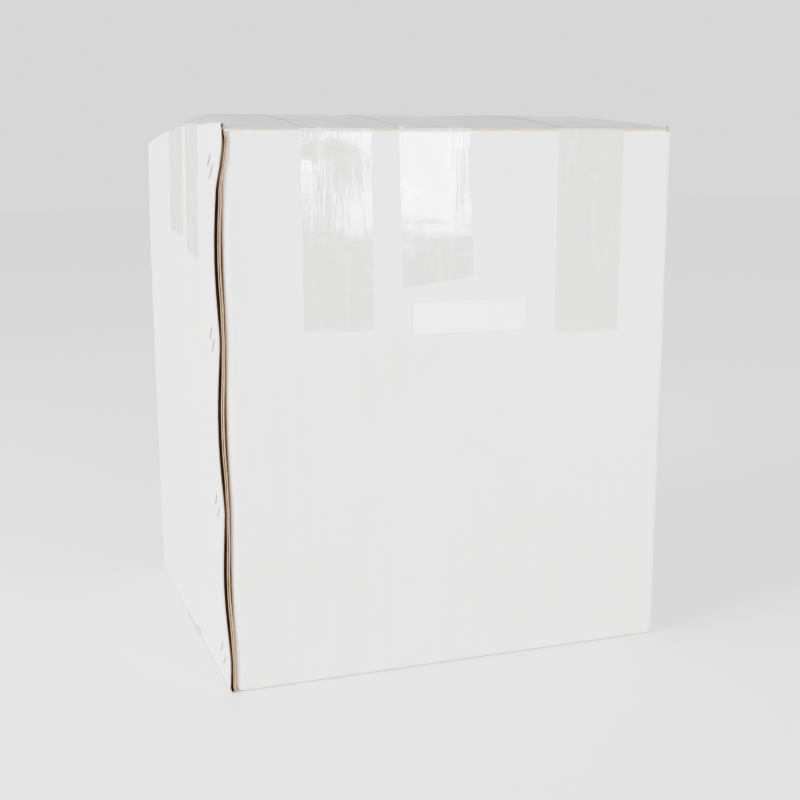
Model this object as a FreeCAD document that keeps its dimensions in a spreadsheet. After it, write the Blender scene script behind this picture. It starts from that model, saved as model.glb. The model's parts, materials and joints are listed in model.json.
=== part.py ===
"""A sliding gate motor packed in its corrugated carton, as a parametric FreeCAD document.

Frame: millimetres, +Z up, origin at the middle of the face that the carton stands on.
The wide front wall faces -Y and the narrow left wall, with the stapled joint, faces -X.
"""

import FreeCAD, Part
import math
import os

import Sketcher

Vector = FreeCAD.Vector
Rotation = FreeCAD.Rotation

# ---------------------------------------------------------------------------------------------
# Driving dimensions, one cell each
# ---------------------------------------------------------------------------------------------

DRIVING = {
    # carton
    "carton_width": 325, "carton_depth": 272, "carton_height": 375, "board": 4.5, "corner_radius": 4,
    "crease_gap": 0.3, "top_crown": 8, "seam_gap": 2, "joint_tab": 38,
    # tape, label and staples
    "tape_width": 50, "tape_film": 0.15, "tape_margin": 2.5, "cross_tape_one": -86, "cross_tape_two": -16.5,
    "cross_tape_three": 99, "cross_tail_one": 125, "cross_tail_two": 102, "cross_tail_three": 141,
    "strip_offset": 56, "seam_tail": 75, "strip_tail": 87, "label_width": 82.5, "label_height": 22,
    "label_film": 0.1, "label_across": 8.5, "label_drop": 125.5, "staple_crown": 13, "staple_wire": 0.7,
    "staple_width": 1.6, "staple_inset": 18, "staple_first": 16, "staple_step": 6.4,
    # packing
    "foam_gap": 0.5, "tray_height": 84, "tray_floor": 30, "cap_drop": 62, "cap_roof": 32, "booklet_width": 148,
    "booklet_length": 210, "booklet_thick": 4, "fit_gap": 0.4,
    # foundation plate and feet
    "plate_length": 256, "plate_thick": 5, "plate_margin": 6, "plate_radius": 6, "foot_thick": 8,
    "foot_length": 30, "foot_reach": 18, "foot_across": 95, "rear_foot_across": 5, "bolt_size": 10,
    "bolt_head": 6.4, "bolt_flats": 17, "bolt_clearance": 1,
    # gear housing
    "housing_length": 240, "housing_depth": 150, "housing_height": 132, "housing_wall": 8,
    "housing_radius": 12, "housing_shift": -15, "axis_shift": 15, "block_face": 10,
    "wheel_across": 72, "chamber_radius": 40, "chamber_half": 13, "bay_wall": 17,
    # worm and wheel
    "gear_module": 2.5, "wheel_teeth": 28, "worm_pitch_size": 25, "wheel_face": 18, "worm_length": 27,
    "mesh_backlash": 0.5, "pressure_angle": 20, "thread_clearance": 0.65, "thread_sink": 0.6,
    # shafts and bearings
    "output_size": 20, "rotor_size": 15, "output_bearing_size": 42, "output_bearing_width": 12,
    "rotor_bearing_size": 35, "rotor_bearing_width": 11, "bearing_lip": 3.5, "running_gap": 0.05,
    "seal_size": 35, "seal_width": 7, "shaft_end_gap": 1,
    # pinion
    "pinion_module": 4, "pinion_teeth": 17, "pinion_face": 28, "pinion_gap": 3, "key_width": 6,
    "key_height": 6, "key_length": 22, "washer_size": 32, "washer_thick": 3, "pinion_bolt_size": 8,
    "pinion_bolt_head": 5.3, "pinion_bolt_flats": 13,
    # gear cover and worm cap
    "cover_flange": 52, "cover_flange_thick": 6, "cover_screw_circle": 46, "cover_screw_size": 5,
    "screw_flats": 8, "screw_head": 4, "cap_flange": 27, "cap_flange_thick": 4, "plug_gap": 0.1,
    # electric motor
    "stator_size": 100, "stator_length": 60, "stator_bore": 55, "air_gap": 0.5, "winding_size": 84,
    "winding_length": 14, "winding_recess": 17, "winding_gap": 2, "bell_wall": 5, "bell_depth": 24,
    "tie_bolt_size": 5, "tie_bolt_circle": 45.5, "stator_chamfer": 16,
    # top cover
    "lid_wall": 3, "lid_radius": 16, "lid_lean": 5, "crown_inset": 10, "crown_drop": 7,
    # electrics
    "shelf_thick": 2, "shelf_length": 170, "shelf_width": 110, "shelf_gap": 6, "post_inset": 12,
    "circuit_length": 120, "circuit_width": 84, "circuit_thick": 1.6, "spacer_height": 8, "spacer_size": 6,
    "transformer_length": 52, "transformer_width": 44, "transformer_height": 46, "capacitor_size": 36,
    "capacitor_length": 42, "terminal_length": 60, "terminal_width": 12, "terminal_height": 14,
    "terminal_pitch": 10, "gland_size": 22, "gland_length": 14, "gland_bore": 11, "gland_nut": 4,
    # release and limit switch
    "knob_size": 46, "knob_thick": 7, "knob_grip": 12, "knob_grip_width": 10, "knob_stem": 10,
    "knob_across": 66, "knob_level": 72, "lock_size": 14, "lock_length": 10,
    "switch_length": 44, "switch_width": 22, "switch_height": 34, "switch_across": -30, "arm_size": 4,
    "arm_length": 64, "arm_hub": 12, "arm_hub_width": 6, "remote_length": 62, "remote_width": 34,
    "remote_thick": 11,
}

doc = FreeCAD.newDocument("gate_motor_in_carton")
sheet = doc.addObject("Spreadsheet::Sheet", "Sizes")
for row, (alias, number) in enumerate(DRIVING.items(), start=1):
    sheet.set("A%d" % row, alias)
    sheet.set("B%d" % row, str(number))
    sheet.setAlias("B%d" % row, alias)
doc.recompute()


class Size:
    """A number worked out from the sheet, which keeps its formula so that it can be bound."""

    def __init__(self, text, value):
        self.text = text
        self.value = value

    def __add__(self, other):
        other = as_size(other)
        return Size("(%s + %s)" % (self.text, other.text), self.value + other.value)

    def __sub__(self, other):
        other = as_size(other)
        return Size("(%s - %s)" % (self.text, other.text), self.value - other.value)

    def __mul__(self, other):
        other = as_size(other)
        return Size("(%s * %s)" % (self.text, other.text), self.value * other.value)

    def __truediv__(self, other):
        other = as_size(other)
        return Size("(%s / %s)" % (self.text, other.text), self.value / other.value)

    def __neg__(self):
        return Size("(-1 * %s)" % self.text, -self.value)

    def __radd__(self, other):
        return as_size(other) + self

    def __rsub__(self, other):
        return as_size(other) - self

    def __rmul__(self, other):
        return as_size(other) * self


def as_size(number):
    """A plain number as a Size, so that formulas may mix the two."""
    return number if isinstance(number, Size) else Size(repr(float(number)), float(number))


class Cells:
    """Every cell of the sheet as a Size, by its alias."""

    def __init__(self):
        for alias in DRIVING:
            setattr(self, alias, Size("Sizes.%s" % alias, float(sheet.get(alias))))


d = Cells()

# ---------------------------------------------------------------------------------------------
# Sizes that follow from the driving ones
# ---------------------------------------------------------------------------------------------

ZERO = as_size(0)

# carton: outer faces, inner faces and the levels of the folded flaps
half_width = d.carton_width / 2
half_depth = d.carton_depth / 2
inner_x = half_width - d.board
inner_y = half_depth - d.board
base_level = d.tape_film
side_bottom = base_level + d.board
floor_level = side_bottom + d.board
side_top = d.carton_height - d.board - d.crease_gap
under_top = side_top - d.board
flap_reach = half_depth - d.seam_gap / 2
crown_angle = Size("asin(%s / %s)" % (d.top_crown.text, flap_reach.text),
                   math.degrees(math.asin(d.top_crown.value / flap_reach.value)))

# packing: two blocks of foam as wide as the tab inside the left wall leaves room for
foam_x = inner_x - d.board - d.foam_gap
foam_y = inner_y - d.foam_gap
tray_top = floor_level + d.tray_height
booklet_bottom = under_top - d.fit_gap - d.booklet_thick
cap_top = booklet_bottom
plate_bottom = floor_level + d.tray_floor

# motor: housing walls and the axes of the gears
zero_level = plate_bottom + d.plate_thick
motor_x = d.housing_length / 2
motor_front = d.housing_shift - d.housing_depth / 2
motor_back = d.housing_shift + d.housing_depth / 2
axis_y = d.housing_shift + d.axis_shift
wheel_radius = d.gear_module * d.wheel_teeth / 2
centre_distance = wheel_radius + d.worm_pitch_size / 2
wheel_z = zero_level + d.cover_flange + d.winding_gap
worm_z = wheel_z + centre_distance
rim_level = zero_level + d.housing_height
tower_half = d.stator_size / 2 + d.bell_wall / 2
block_top = worm_z + tower_half
tunnel_radius = d.rotor_bearing_size / 2
cavity_floor = zero_level + d.housing_wall
recess_end = d.block_face + d.winding_recess
inner_bearing_x = recess_end + d.bearing_lip
outer_bearing_x = motor_x - d.housing_wall - d.rotor_bearing_width
front_bearing_y = axis_y - d.chamber_half - d.output_bearing_width
rear_bearing_y = motor_back - d.seal_width - d.bearing_lip - d.output_bearing_width
cover_face = motor_back + d.cover_flange_thick
stator_left = d.block_face - d.stator_length
bell_left = stator_left - d.bell_depth
bell_bearing_x = bell_left + d.bell_wall
pinion_start = cover_face + d.pinion_gap
pinion_end = pinion_start + d.pinion_face
pinion_radius = d.pinion_module * (d.pinion_teeth + 2) / 2
plate_front = motor_front - d.foot_reach - d.plate_margin
plate_back = motor_back + d.foot_reach + d.plate_margin
lid_top = cap_top - d.cap_roof
cap_bottom = lid_top - d.cap_drop

# ---------------------------------------------------------------------------------------------
# Tools: bound sketches, features and primitives
# ---------------------------------------------------------------------------------------------

NODES = {}
STAPLE_PAIRS = 4
RING_SIDES, SMALL_SIDES, KNOB_FLUTES = 20, 8, 16
THREAD_STEPS, CORNER_STEPS = 12, 3
DEDENDUM = 1.25
ALONG = {"x": Rotation(Vector(0, 1, 0), 90), "y": Rotation(Vector(1, 0, 0), -90), "z": Rotation()}


def keep(name, item):
    """Names an object as one piece of the product."""
    item.Label = name
    NODES[name] = item
    return item


def bind(item, **formulas):
    """Binds properties to formulas; a double underscore stands for a dot."""
    for prop, size in formulas.items():
        item.setExpression(prop.replace("__", "."), as_size(size).text)


def move(item, x, y, z):
    """Binds the place of an object."""
    bind(item, Placement__Base__x=x, Placement__Base__y=y, Placement__Base__z=z)


def new_body(name):
    """An empty PartDesign body which is one piece of the product."""
    return keep(name, doc.addObject("PartDesign::Body", name))


def sketch_on(body, role, offset, loops):
    """A sketch on an origin plane, moved along its normal, of polygons and (x, y, radius) circles."""
    sketch = body.newObject("Sketcher::SketchObject", "outline")
    plane = [item for item in body.Origin.OriginFeatures if item.Role == role][0]
    sketch.AttachmentSupport = [(plane, "")]
    sketch.MapMode = "FlatFace"
    bind(sketch, AttachmentOffset__Base__z=offset)

    rules, formulas = [], {}

    def hold(kind, size, *where):
        formulas[len(rules)] = size.text
        rules.append(Sketcher.Constraint(kind, *where, size.value))

    shapes = []
    for loop in loops:
        first = len(shapes)
        if isinstance(loop, tuple):
            x, y, radius = (as_size(item) for item in loop)
            shapes.append(Part.Circle(Vector(x.value, y.value, 0), Vector(0, 0, 1), radius.value))
            hold("Radius", radius, first)
            hold("DistanceX", x, -1, 1, first, 3)
            hold("DistanceY", y, -1, 1, first, 3)
            continue
        points = [(as_size(x), as_size(y)) for x, y in loop]
        for index, (x, y) in enumerate(points):
            following = (index + 1) % len(points)
            to_x, to_y = points[following]
            shapes.append(Part.LineSegment(Vector(x.value, y.value, 0), Vector(to_x.value, to_y.value, 0)))
            rules.append(Sketcher.Constraint("Coincident", first + index, 2, first + following, 1))
            hold("DistanceX", x, -1, 1, first + index, 1)
            hold("DistanceY", y, -1, 1, first + index, 1)
    sketch.addGeometry(shapes, False)
    sketch.addConstraint(rules)
    for number, text in formulas.items():
        sketch.setExpression("Constraints[%d]" % number, text)
    return sketch


def pad(body, role, low, high, *loops):
    """Adds an outline, stretched from low to high along the plane's world axis."""
    toward_minus = role == "XZ_Plane"
    sketch = sketch_on(body, role, -high if toward_minus else low, loops)
    feature = body.newObject("PartDesign::Pad", "pad")
    feature.Profile = sketch
    bind(feature, Length=high - low)
    return feature


def pocket(body, role, low, high, *loops):
    """Cuts an outline away from low to high along the plane's world axis."""
    toward_minus = role == "XZ_Plane"
    sketch = sketch_on(body, role, -low if toward_minus else high, loops)
    feature = body.newObject("PartDesign::Pocket", "pocket")
    feature.Profile = sketch
    bind(feature, Length=high - low)
    return feature


def soften(body, kind, size, chosen):
    """Fillets or chamfers the edges of the last feature that the test picks out."""
    doc.recompute()
    last = body.Tip
    names = ["Edge%d" % number for number, edge in enumerate(last.Shape.Edges, start=1) if chosen(edge)]
    feature = body.newObject("PartDesign::" + kind, kind.lower())
    feature.Base = (last, names)
    bind(feature, **{"Radius" if kind == "Fillet" else "Size": size})
    return feature


def upright(edge):
    """True for a straight edge along Z."""
    ends = [vertex.Point for vertex in edge.Vertexes]
    return len(ends) == 2 and (ends[0] - ends[1]).cross(Vector(0, 0, 1)).Length < 1e-6


def lying_at(axis, place):
    """A test for edges that lie wholly at one place along an axis."""
    def test(edge):
        box = edge.BoundBox
        return all(abs(getattr(box, axis + end) - place.value) < 1e-4 for end in ("Min", "Max"))
    return test


def rectangle(x_low, x_high, y_low, y_high):
    """The four corners of a rectangle."""
    return [(x_low, y_low), (x_high, y_low), (x_high, y_high), (x_low, y_high)]


def turned(name, axis, at, profile):
    """A piece turned about an axis from a (radius, length) profile; `at` is its zero point."""
    body = new_body(name)
    sketch = sketch_on(body, "XZ_Plane", ZERO, [profile])
    feature = body.newObject("PartDesign::Revolution", "turning")
    feature.Profile = sketch
    feature.ReferenceAxis = (sketch, ["V_Axis"])
    feature.Angle = 360
    body.Placement = FreeCAD.Placement(Vector(), ALONG[axis])
    move(body, *at)
    return body


def block(name, x, y, z):
    """A box between two corners, given as (low, high) along each axis."""
    item = doc.addObject("Part::Box", name)
    bind(item, Length=x[1] - x[0], Width=y[1] - y[0], Height=z[1] - z[0])
    move(item, x[0], y[0], z[0])
    return item


def rod(name, axis, at, radius, length):
    """A cylinder along an axis."""
    item = doc.addObject("Part::Cylinder", name)
    item.Placement = FreeCAD.Placement(Vector(), ALONG[axis])
    bind(item, Radius=radius, Height=length)
    move(item, *at)
    return item


def joined(name, *items):
    """One solid fused from several."""
    item = doc.addObject("Part::MultiFuse", name)
    item.Shapes = list(items)
    return item


def cut(name, base, *tools):
    """A solid less one or more others."""
    item = doc.addObject("Part::Cut", name)
    item.Base = base
    item.Tool = tools[0] if len(tools) == 1 else joined(name + "_tool", *tools)
    return item


def group(name, items):
    """Several like solids kept as one piece list entry."""
    item = doc.addObject("Part::Compound", name)
    item.Links = list(items)
    return keep(name, item)


def hex_bolt(name, axis, at, size, length, across, head):
    """A hexagon bolt whose shank starts at `at` and whose head follows the shank along the axis."""
    shank = prism(name + "_shank", axis, at, size / 2, length, SMALL_SIDES)
    shifted = [as_size(value) + length if axis == letter else value for letter, value in zip("xyz", at)]
    return joined(name, shank, prism(name + "_head", axis, shifted, across / math.sqrt(3), head, 6))


def prism(name, axis, at, radius, length, sides):
    """A bar of equal flats along an axis, whose corners lie at the radius."""
    item = doc.addObject("Part::Prism", name)
    item.Polygon = sides
    item.Placement = FreeCAD.Placement(Vector(), ALONG[axis])
    bind(item, Circumradius=radius, Height=length)
    move(item, *at)
    return item


def flats(x, y, radius, sides):
    """The corners of a hole of equal flats, each of which lies at the radius, clear of what fits in."""
    reach = radius / math.cos(math.pi / sides)
    angles = [math.pi * (2 * number + 1) / sides for number in range(sides)]
    return [(x + reach * math.cos(angle), y + reach * math.sin(angle)) for angle in angles]


def ring(name, axis, at, outer, inner, length):
    """A ring of many flats between two diameters, for the pieces that are hidden or repeated."""
    hole = prism(name + "_hole", axis, at, inner / 2 / math.cos(math.pi / RING_SIDES), length, RING_SIDES)
    return cut(name, prism(name + "_rim", axis, at, outer / 2, length, RING_SIDES), hole)


def make_solid(name, shape):
    """A piece whose form is computed from the sheet's values."""
    item = doc.addObject("Part::Feature", name)
    item.Shape = shape
    return item


# ---------------------------------------------------------------------------------------------
# Carton
# ---------------------------------------------------------------------------------------------

def carton_sleeve():
    """The folded tube of four walls; the front wall's tab is stapled inside the left wall."""
    body = new_body("carton_sleeve")
    tab_x = -inner_x + d.board
    cut_x = -inner_x + d.tape_film
    tube = [(-half_width, -half_depth), (-inner_x, -half_depth), (-inner_x, inner_y), (inner_x, inner_y),
            (inner_x, -inner_y), (tab_x, -inner_y), (tab_x, -inner_y + d.joint_tab),
            (cut_x, -inner_y + d.joint_tab), (cut_x, -half_depth), (half_width, -half_depth),
            (half_width, half_depth), (-half_width, half_depth)]
    pad(body, "XY_Plane", side_bottom, side_top, tube)

    def folded(edge):
        point = edge.Vertexes[0].Point
        joint = point.x < -inner_x.value + d.board.value and point.y < 0 and abs(point.x) < half_width.value
        return upright(edge) and (abs(point.x) > half_width.value - 1e-3 or joint) \
            and abs(point.y) > half_depth.value - 1e-3 and not (
                abs(point.x + inner_x.value) < 1e-3 or (point.x < -half_width.value + 1e-3 and point.y < 0))
    soften(body, "Fillet", d.corner_radius, folded)
    strip_x = half_width - d.corner_radius
    strip_left = -inner_x + d.corner_radius
    for side in (-1, 1):
        left = strip_left if side < 0 else -strip_x
        low, high = (-half_depth, -inner_y) if side < 0 else (inner_y, half_depth)
        pad(body, "XY_Plane", base_level, side_bottom, rectangle(left, strip_x, low, high))
        mitre = [(side * half_depth, side_top), (side * half_depth, d.carton_height),
                 (side * (inner_y + d.crease_gap), side_top)]
        pad(body, "YZ_Plane", left, strip_x, mitre)


def top_flap(name, side):
    """An outer top flap, mitred along its crease, which rises to the taped seam."""
    body = new_body(name)
    slack = d.crease_gap * math.sqrt(2)
    profile = [(-side * slack, 0), (-side * flap_reach, 0), (-side * flap_reach, -d.board),
               (-side * (slack + d.board), -d.board)]
    pad(body, "YZ_Plane", -half_width, half_width, profile)
    return on_flap(body, side)


def on_flap(item, side):
    """Turns an object made about the crease to the closed flap's pitch and seats it on the crease."""
    item.Placement = FreeCAD.Placement(Vector(), Rotation(Vector(1, 0, 0), 1))
    bind(item, Placement__Rotation__Angle=crown_angle if side < 0 else -crown_angle)
    move(item, ZERO, side * half_depth, d.carton_height)
    return item


def fixed_flaps():
    """The inner flaps at both ends and the outer bottom flaps, folded flat."""
    reach = half_depth - half_width
    for side, letter in ((-1, "left"), (1, "right")):
        ends = (-inner_x, reach) if side < 0 else (-reach, inner_x)
        for level_name, low in (("bottom", side_bottom), ("top", under_top)):
            width = inner_y if level_name == "bottom" else inner_y - d.fit_gap
            y_low = -width
            if side < 0:
                y_low = -inner_y + d.fit_gap
            name = "%s_%s_flap" % (letter, level_name)
            start = ends if side > 0 else (tab_clear(), ends[1])
            keep(name, block(name, start, (y_low, width), (low, low + d.board)))
    for side, letter in ((-1, "front"), (1, "back")):
        ends = (-inner_y, -d.seam_gap / 2) if side < 0 else (d.seam_gap / 2, inner_y)
        name = "%s_bottom_flap" % letter
        keep(name, block(name, (-half_width, half_width), ends, (base_level, side_bottom)))


def tab_clear():
    """Where the left inner flaps start: just clear of the tab that lines the left wall."""
    return -inner_x + d.board + d.fit_gap


def tape():
    """Clear tape: along the seam, a second strip beside it, and three strips across the top."""
    half = d.tape_width / 2
    across = (("one", d.cross_tape_one, d.cross_tail_one), ("two", d.cross_tape_two, d.cross_tail_two),
              ("three", d.cross_tape_three, d.cross_tail_three))
    for side, letter in ((-1, "front"), (1, "back")):
        strips = [[-side * (flap_reach - half), -side * flap_reach]]
        if side < 0:
            middle = half_depth - d.strip_offset
            strips.append([middle - half, middle + half])
        pieces = []
        for index, (low, high) in enumerate(strips):
            body = doc.addObject("PartDesign::Body", "strip")
            low, high = (low, high) if low.value < high.value else (high, low)
            if index:
                high = flap_reach - half - d.fit_gap
            pad(body, "YZ_Plane", -half_width, half_width, rectangle(low, high, ZERO, d.tape_film))
            pieces.append(on_flap(body, side))
        group(letter + "_seam_tape", pieces)
        tops = []
        for word, x, tail in across:
            body = doc.addObject("PartDesign::Body", "cross_" + word)
            ends = rectangle(d.tape_margin, flap_reach, d.tape_film, d.tape_film * 2) if side < 0 else \
                rectangle(-flap_reach, -d.tape_margin, d.tape_film, d.tape_film * 2)
            pad(body, "YZ_Plane", x - half, x + half, ends)
            tops.append(on_flap(body, side))
        group(letter + "_cross_tape", tops)
    tails = []
    for side in (-1, 1):
        walls = (-half_depth - d.tape_film, -half_depth) if side < 0 else (half_depth, half_depth + d.tape_film)
        for word, x, tail in across:
            level_top = d.carton_height - d.tape_margin
            tails.append(block("tail_" + word, (x - half, x + half), walls, (level_top - tail, level_top)))
    group("cross_tape_tails", tails)
    ends = []
    for side in (-1, 1):
        walls = (-half_width - d.tape_film, -half_width) if side < 0 else (half_width, half_width + d.tape_film)
        top = side_top - d.corner_radius
        middle = -d.strip_offset
        ends.append(block("seam_end", walls, (-half, half), (top - d.seam_tail, top)))
        ends.append(block("strip_end", walls, (middle - half, -half - d.fit_gap), (top - d.strip_tail, top)))
    group("seam_tape_tails", ends)
    keep("bottom_seam_tape", block("bottom_seam_tape", (-half_width, half_width), (-half, half),
                                   (ZERO, base_level)))


def front_trim():
    """The blank label on the front wall and the staples of the left joint."""
    x, z = d.label_across, d.carton_height - d.label_drop
    wall = -half_depth
    keep("front_label", block("front_label", (x - d.label_width / 2, x + d.label_width / 2),
                              (wall - d.label_film, wall), (z - d.label_height / 2, z + d.label_height / 2)))
    pitch = (side_top - d.staple_first * 2 - d.staple_crown) / (STAPLE_PAIRS - 1)
    staples = []
    for index in range(STAPLE_PAIRS):
        for twin in range(2):
            wire = doc.addObject("Part::Box", "staple")
            bind(wire, Length=d.staple_wire, Width=d.staple_crown, Height=d.staple_width)
            wire.Placement = FreeCAD.Placement(Vector(), Rotation(Vector(1, 0, 0), -45))
            move(wire, -half_width - d.staple_wire, -half_depth + d.staple_inset - twin * d.staple_step,
                 d.staple_first + index * pitch + d.staple_crown / 2 - twin * d.staple_step)
            staples.append(wire)
    group("joint_staples", staples)


# ---------------------------------------------------------------------------------------------
# Packing
# ---------------------------------------------------------------------------------------------

def packing():
    """Two moulded foam blocks that hold the motor, with the instructions and remotes on top."""
    gap = d.fit_gap
    tray = new_body("foam_tray")
    pad(tray, "XY_Plane", floor_level, tray_top, rectangle(-foam_x, foam_x, -foam_y, foam_y))
    soften(tray, "Fillet", d.plate_radius, upright)
    plate_x = d.plate_length / 2
    pocket(tray, "XY_Plane", plate_bottom, tray_top,
           rectangle(-plate_x - gap, plate_x + gap, plate_front - gap, plate_back + gap))
    reach = pinion_radius + d.pinion_gap
    bolt_end = pinion_end + d.washer_thick + d.pinion_bolt_head
    pocket(tray, "XY_Plane", wheel_z - reach, tray_top,
           rectangle(d.wheel_across - reach, d.wheel_across + reach, plate_back, bolt_end + d.pinion_gap))

    cap = new_body("foam_cap")
    pad(cap, "XY_Plane", cap_bottom, cap_top, rectangle(-foam_x, foam_x, -foam_y, foam_y))
    soften(cap, "Fillet", d.plate_radius, upright)
    pocket(cap, "XY_Plane", cap_bottom, lid_top + gap,
           rectangle(-motor_x - gap, motor_x + gap, motor_front - gap, motor_back + gap))
    remotes = []
    for side in (-1, 1):
        middle = side * (foam_x - d.remote_width)
        x_low, x_high = middle - d.remote_width / 2, middle + d.remote_width / 2
        y_high = d.remote_length / 2
        pocket(cap, "XY_Plane", cap_top - d.remote_thick - gap, cap_top,
               rectangle(x_low - gap, x_high + gap, -y_high - gap, y_high + gap))
        body = doc.addObject("PartDesign::Body", "remote")
        pad(body, "XY_Plane", cap_top - d.remote_thick - gap, cap_top - gap,
            rectangle(x_low, x_high, -y_high, y_high))
        soften(body, "Chamfer", d.remote_width / 5, upright)
        soften(body, "Chamfer", d.remote_thick / 6, lying_at("Z", cap_top - gap))
        remotes.append(body)
    group("remote_controls", remotes)

    half = d.booklet_width / 2
    booklet = new_body("booklet")
    pad(booklet, "XY_Plane", booklet_bottom, booklet_bottom + d.booklet_thick,
        rectangle(-half, half, -d.booklet_length / 2, d.booklet_length / 2))

    def folded(edge):
        return lying_at("X", -half)(edge) and not upright(edge)
    soften(booklet, "Fillet", d.booklet_thick * 0.4, folded)


# ---------------------------------------------------------------------------------------------
# Motor: plate, housing and gear covers
# ---------------------------------------------------------------------------------------------

def foot_places():
    """The middles of the four feet on the housing's base flange."""
    front = motor_front - d.foot_reach / 2
    back = motor_back + d.foot_reach / 2
    return [(-d.foot_across, front), (d.foot_across, front), (-d.foot_across, back), (d.rear_foot_across, back)]


def foundation():
    """The steel plate that is set in concrete, bolted under the motor, with its four bolts."""
    plate = new_body("foundation_plate")
    half = d.plate_length / 2
    anchors = [flats(x * (half - d.bolt_size * 1.5), y, d.bolt_size / 2 + d.bolt_clearance, SMALL_SIDES)
               for x in (-1, 1) for y in (motor_front, motor_back)]
    holes = [flats(x, y, (d.bolt_size + d.bolt_clearance) / 2, SMALL_SIDES) for x, y in foot_places()]
    pad(plate, "XY_Plane", plate_bottom, zero_level, rectangle(-half, half, plate_front, plate_back))
    soften(plate, "Fillet", d.plate_radius, upright)
    pocket(plate, "XY_Plane", plate_bottom, zero_level, *anchors, *holes, (ZERO, d.housing_shift, d.gland_size))
    group("foot_bolts", [hex_bolt("foot_bolt", "z", (x, y, plate_bottom), d.bolt_size,
                                  d.plate_thick + d.foot_thick, d.bolt_flats, d.bolt_head)
                         for x, y in foot_places()])


def gear_housing():
    """The cast base: motor bay, gear block with worm tunnel and wheel chamber, and four feet."""
    body = new_body("gear_housing")
    x, front, back, wall = motor_x, motor_front, motor_back, d.housing_wall
    pad(body, "XY_Plane", zero_level, rim_level, rectangle(-x, x, front, back))
    soften(body, "Fillet", d.housing_radius, upright)
    tower = [(d.block_face, rim_level), (x - wall, rim_level), (x - wall, block_top - d.housing_radius),
             (x - wall - d.housing_radius, block_top), (d.block_face, block_top)]
    pad(body, "XZ_Plane", axis_y - tower_half, axis_y + tower_half, tower)
    pocket(body, "XY_Plane", cavity_floor, rim_level,
           rectangle(-x + wall, d.block_face, front + wall, back - wall))
    pocket(body, "XY_Plane", cavity_floor, rim_level,
           rectangle(d.block_face + d.bay_wall, x - wall, front + wall,
                     axis_y - tower_half - d.bearing_lip))
    pocket(body, "XZ_Plane", axis_y - d.chamber_half, back, (d.wheel_across, wheel_z, d.chamber_radius))
    pocket(body, "XZ_Plane", front_bearing_y, axis_y, (d.wheel_across, wheel_z, d.output_bearing_size / 2))
    pocket(body, "YZ_Plane", recess_end - d.bearing_lip, x, (axis_y, worm_z, tunnel_radius))
    pocket(body, "YZ_Plane", d.block_face, recess_end,
           flats(axis_y, worm_z, d.winding_size / 2 + d.winding_gap, RING_SIDES))
    for foot_x, foot_y in foot_places():
        reach = d.foot_reach / 2
        inward = wall / 2
        low = foot_y - reach if foot_y.value < 0 else foot_y - reach - inward
        high = foot_y + reach + inward if foot_y.value < 0 else foot_y + reach
        pad(body, "XY_Plane", zero_level, zero_level + d.foot_thick,
            rectangle(foot_x - d.foot_length / 2, foot_x + d.foot_length / 2, low, high))
        pocket(body, "XY_Plane", zero_level, zero_level + d.foot_thick,
               flats(foot_x, foot_y, (d.bolt_size + d.bolt_clearance) / 2, SMALL_SIDES))


def around(radius, count, start):
    """Points evenly spaced on a circle, as pairs of offsets."""
    angles = [math.radians(start + 360 / count * number) for number in range(count)]
    return [(radius * math.cos(angle), radius * math.sin(angle)) for angle in angles]


def gear_closures():
    """The bolted gear cover with its bearing and seal seats, and the cap over the worm's end."""
    length = cover_face - axis_y - d.chamber_half
    plug = d.chamber_radius - d.plug_gap
    flange = length - d.cover_flange_thick
    seat_top = rear_bearing_y + d.output_bearing_width - axis_y - d.chamber_half
    cover = turned("gear_cover", "y", (d.wheel_across, axis_y + d.chamber_half, wheel_z),
                   [(0, 0), (plug, 0), (plug, flange), (d.cover_flange, flange), (d.cover_flange, length),
                    (0, length)])
    pocket(cover, "XY_Plane", ZERO, seat_top, flats(ZERO, ZERO, d.output_bearing_size / 2, RING_SIDES))
    pocket(cover, "XY_Plane", seat_top, length, flats(ZERO, ZERO, d.seal_size / 2, RING_SIDES))
    places = around(d.cover_screw_circle, 6, 30)
    pocket(cover, "XY_Plane", flange, length,
           *[flats(x, y, d.cover_screw_size / 2, SMALL_SIDES) for x, y in places])
    group("gear_cover_screws", [hex_bolt("cover_screw", "y", (d.wheel_across + x, motor_back, wheel_z - y),
                                         d.cover_screw_size, d.cover_flange_thick, d.screw_flats, d.screw_head)
                                for x, y in places])
    plug_start = (motor_x - d.housing_wall, axis_y, worm_z)
    keep("worm_cap", joined("worm_cap",
                            prism("cap_plug", "x", plug_start, tunnel_radius - d.plug_gap, d.housing_wall,
                                  RING_SIDES),
                            prism("cap_flange", "x", (motor_x, axis_y, worm_z), d.cap_flange,
                                  d.cap_flange_thick, RING_SIDES)))


# ---------------------------------------------------------------------------------------------
# Worm, wheel and drive pinion
# ---------------------------------------------------------------------------------------------

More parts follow.
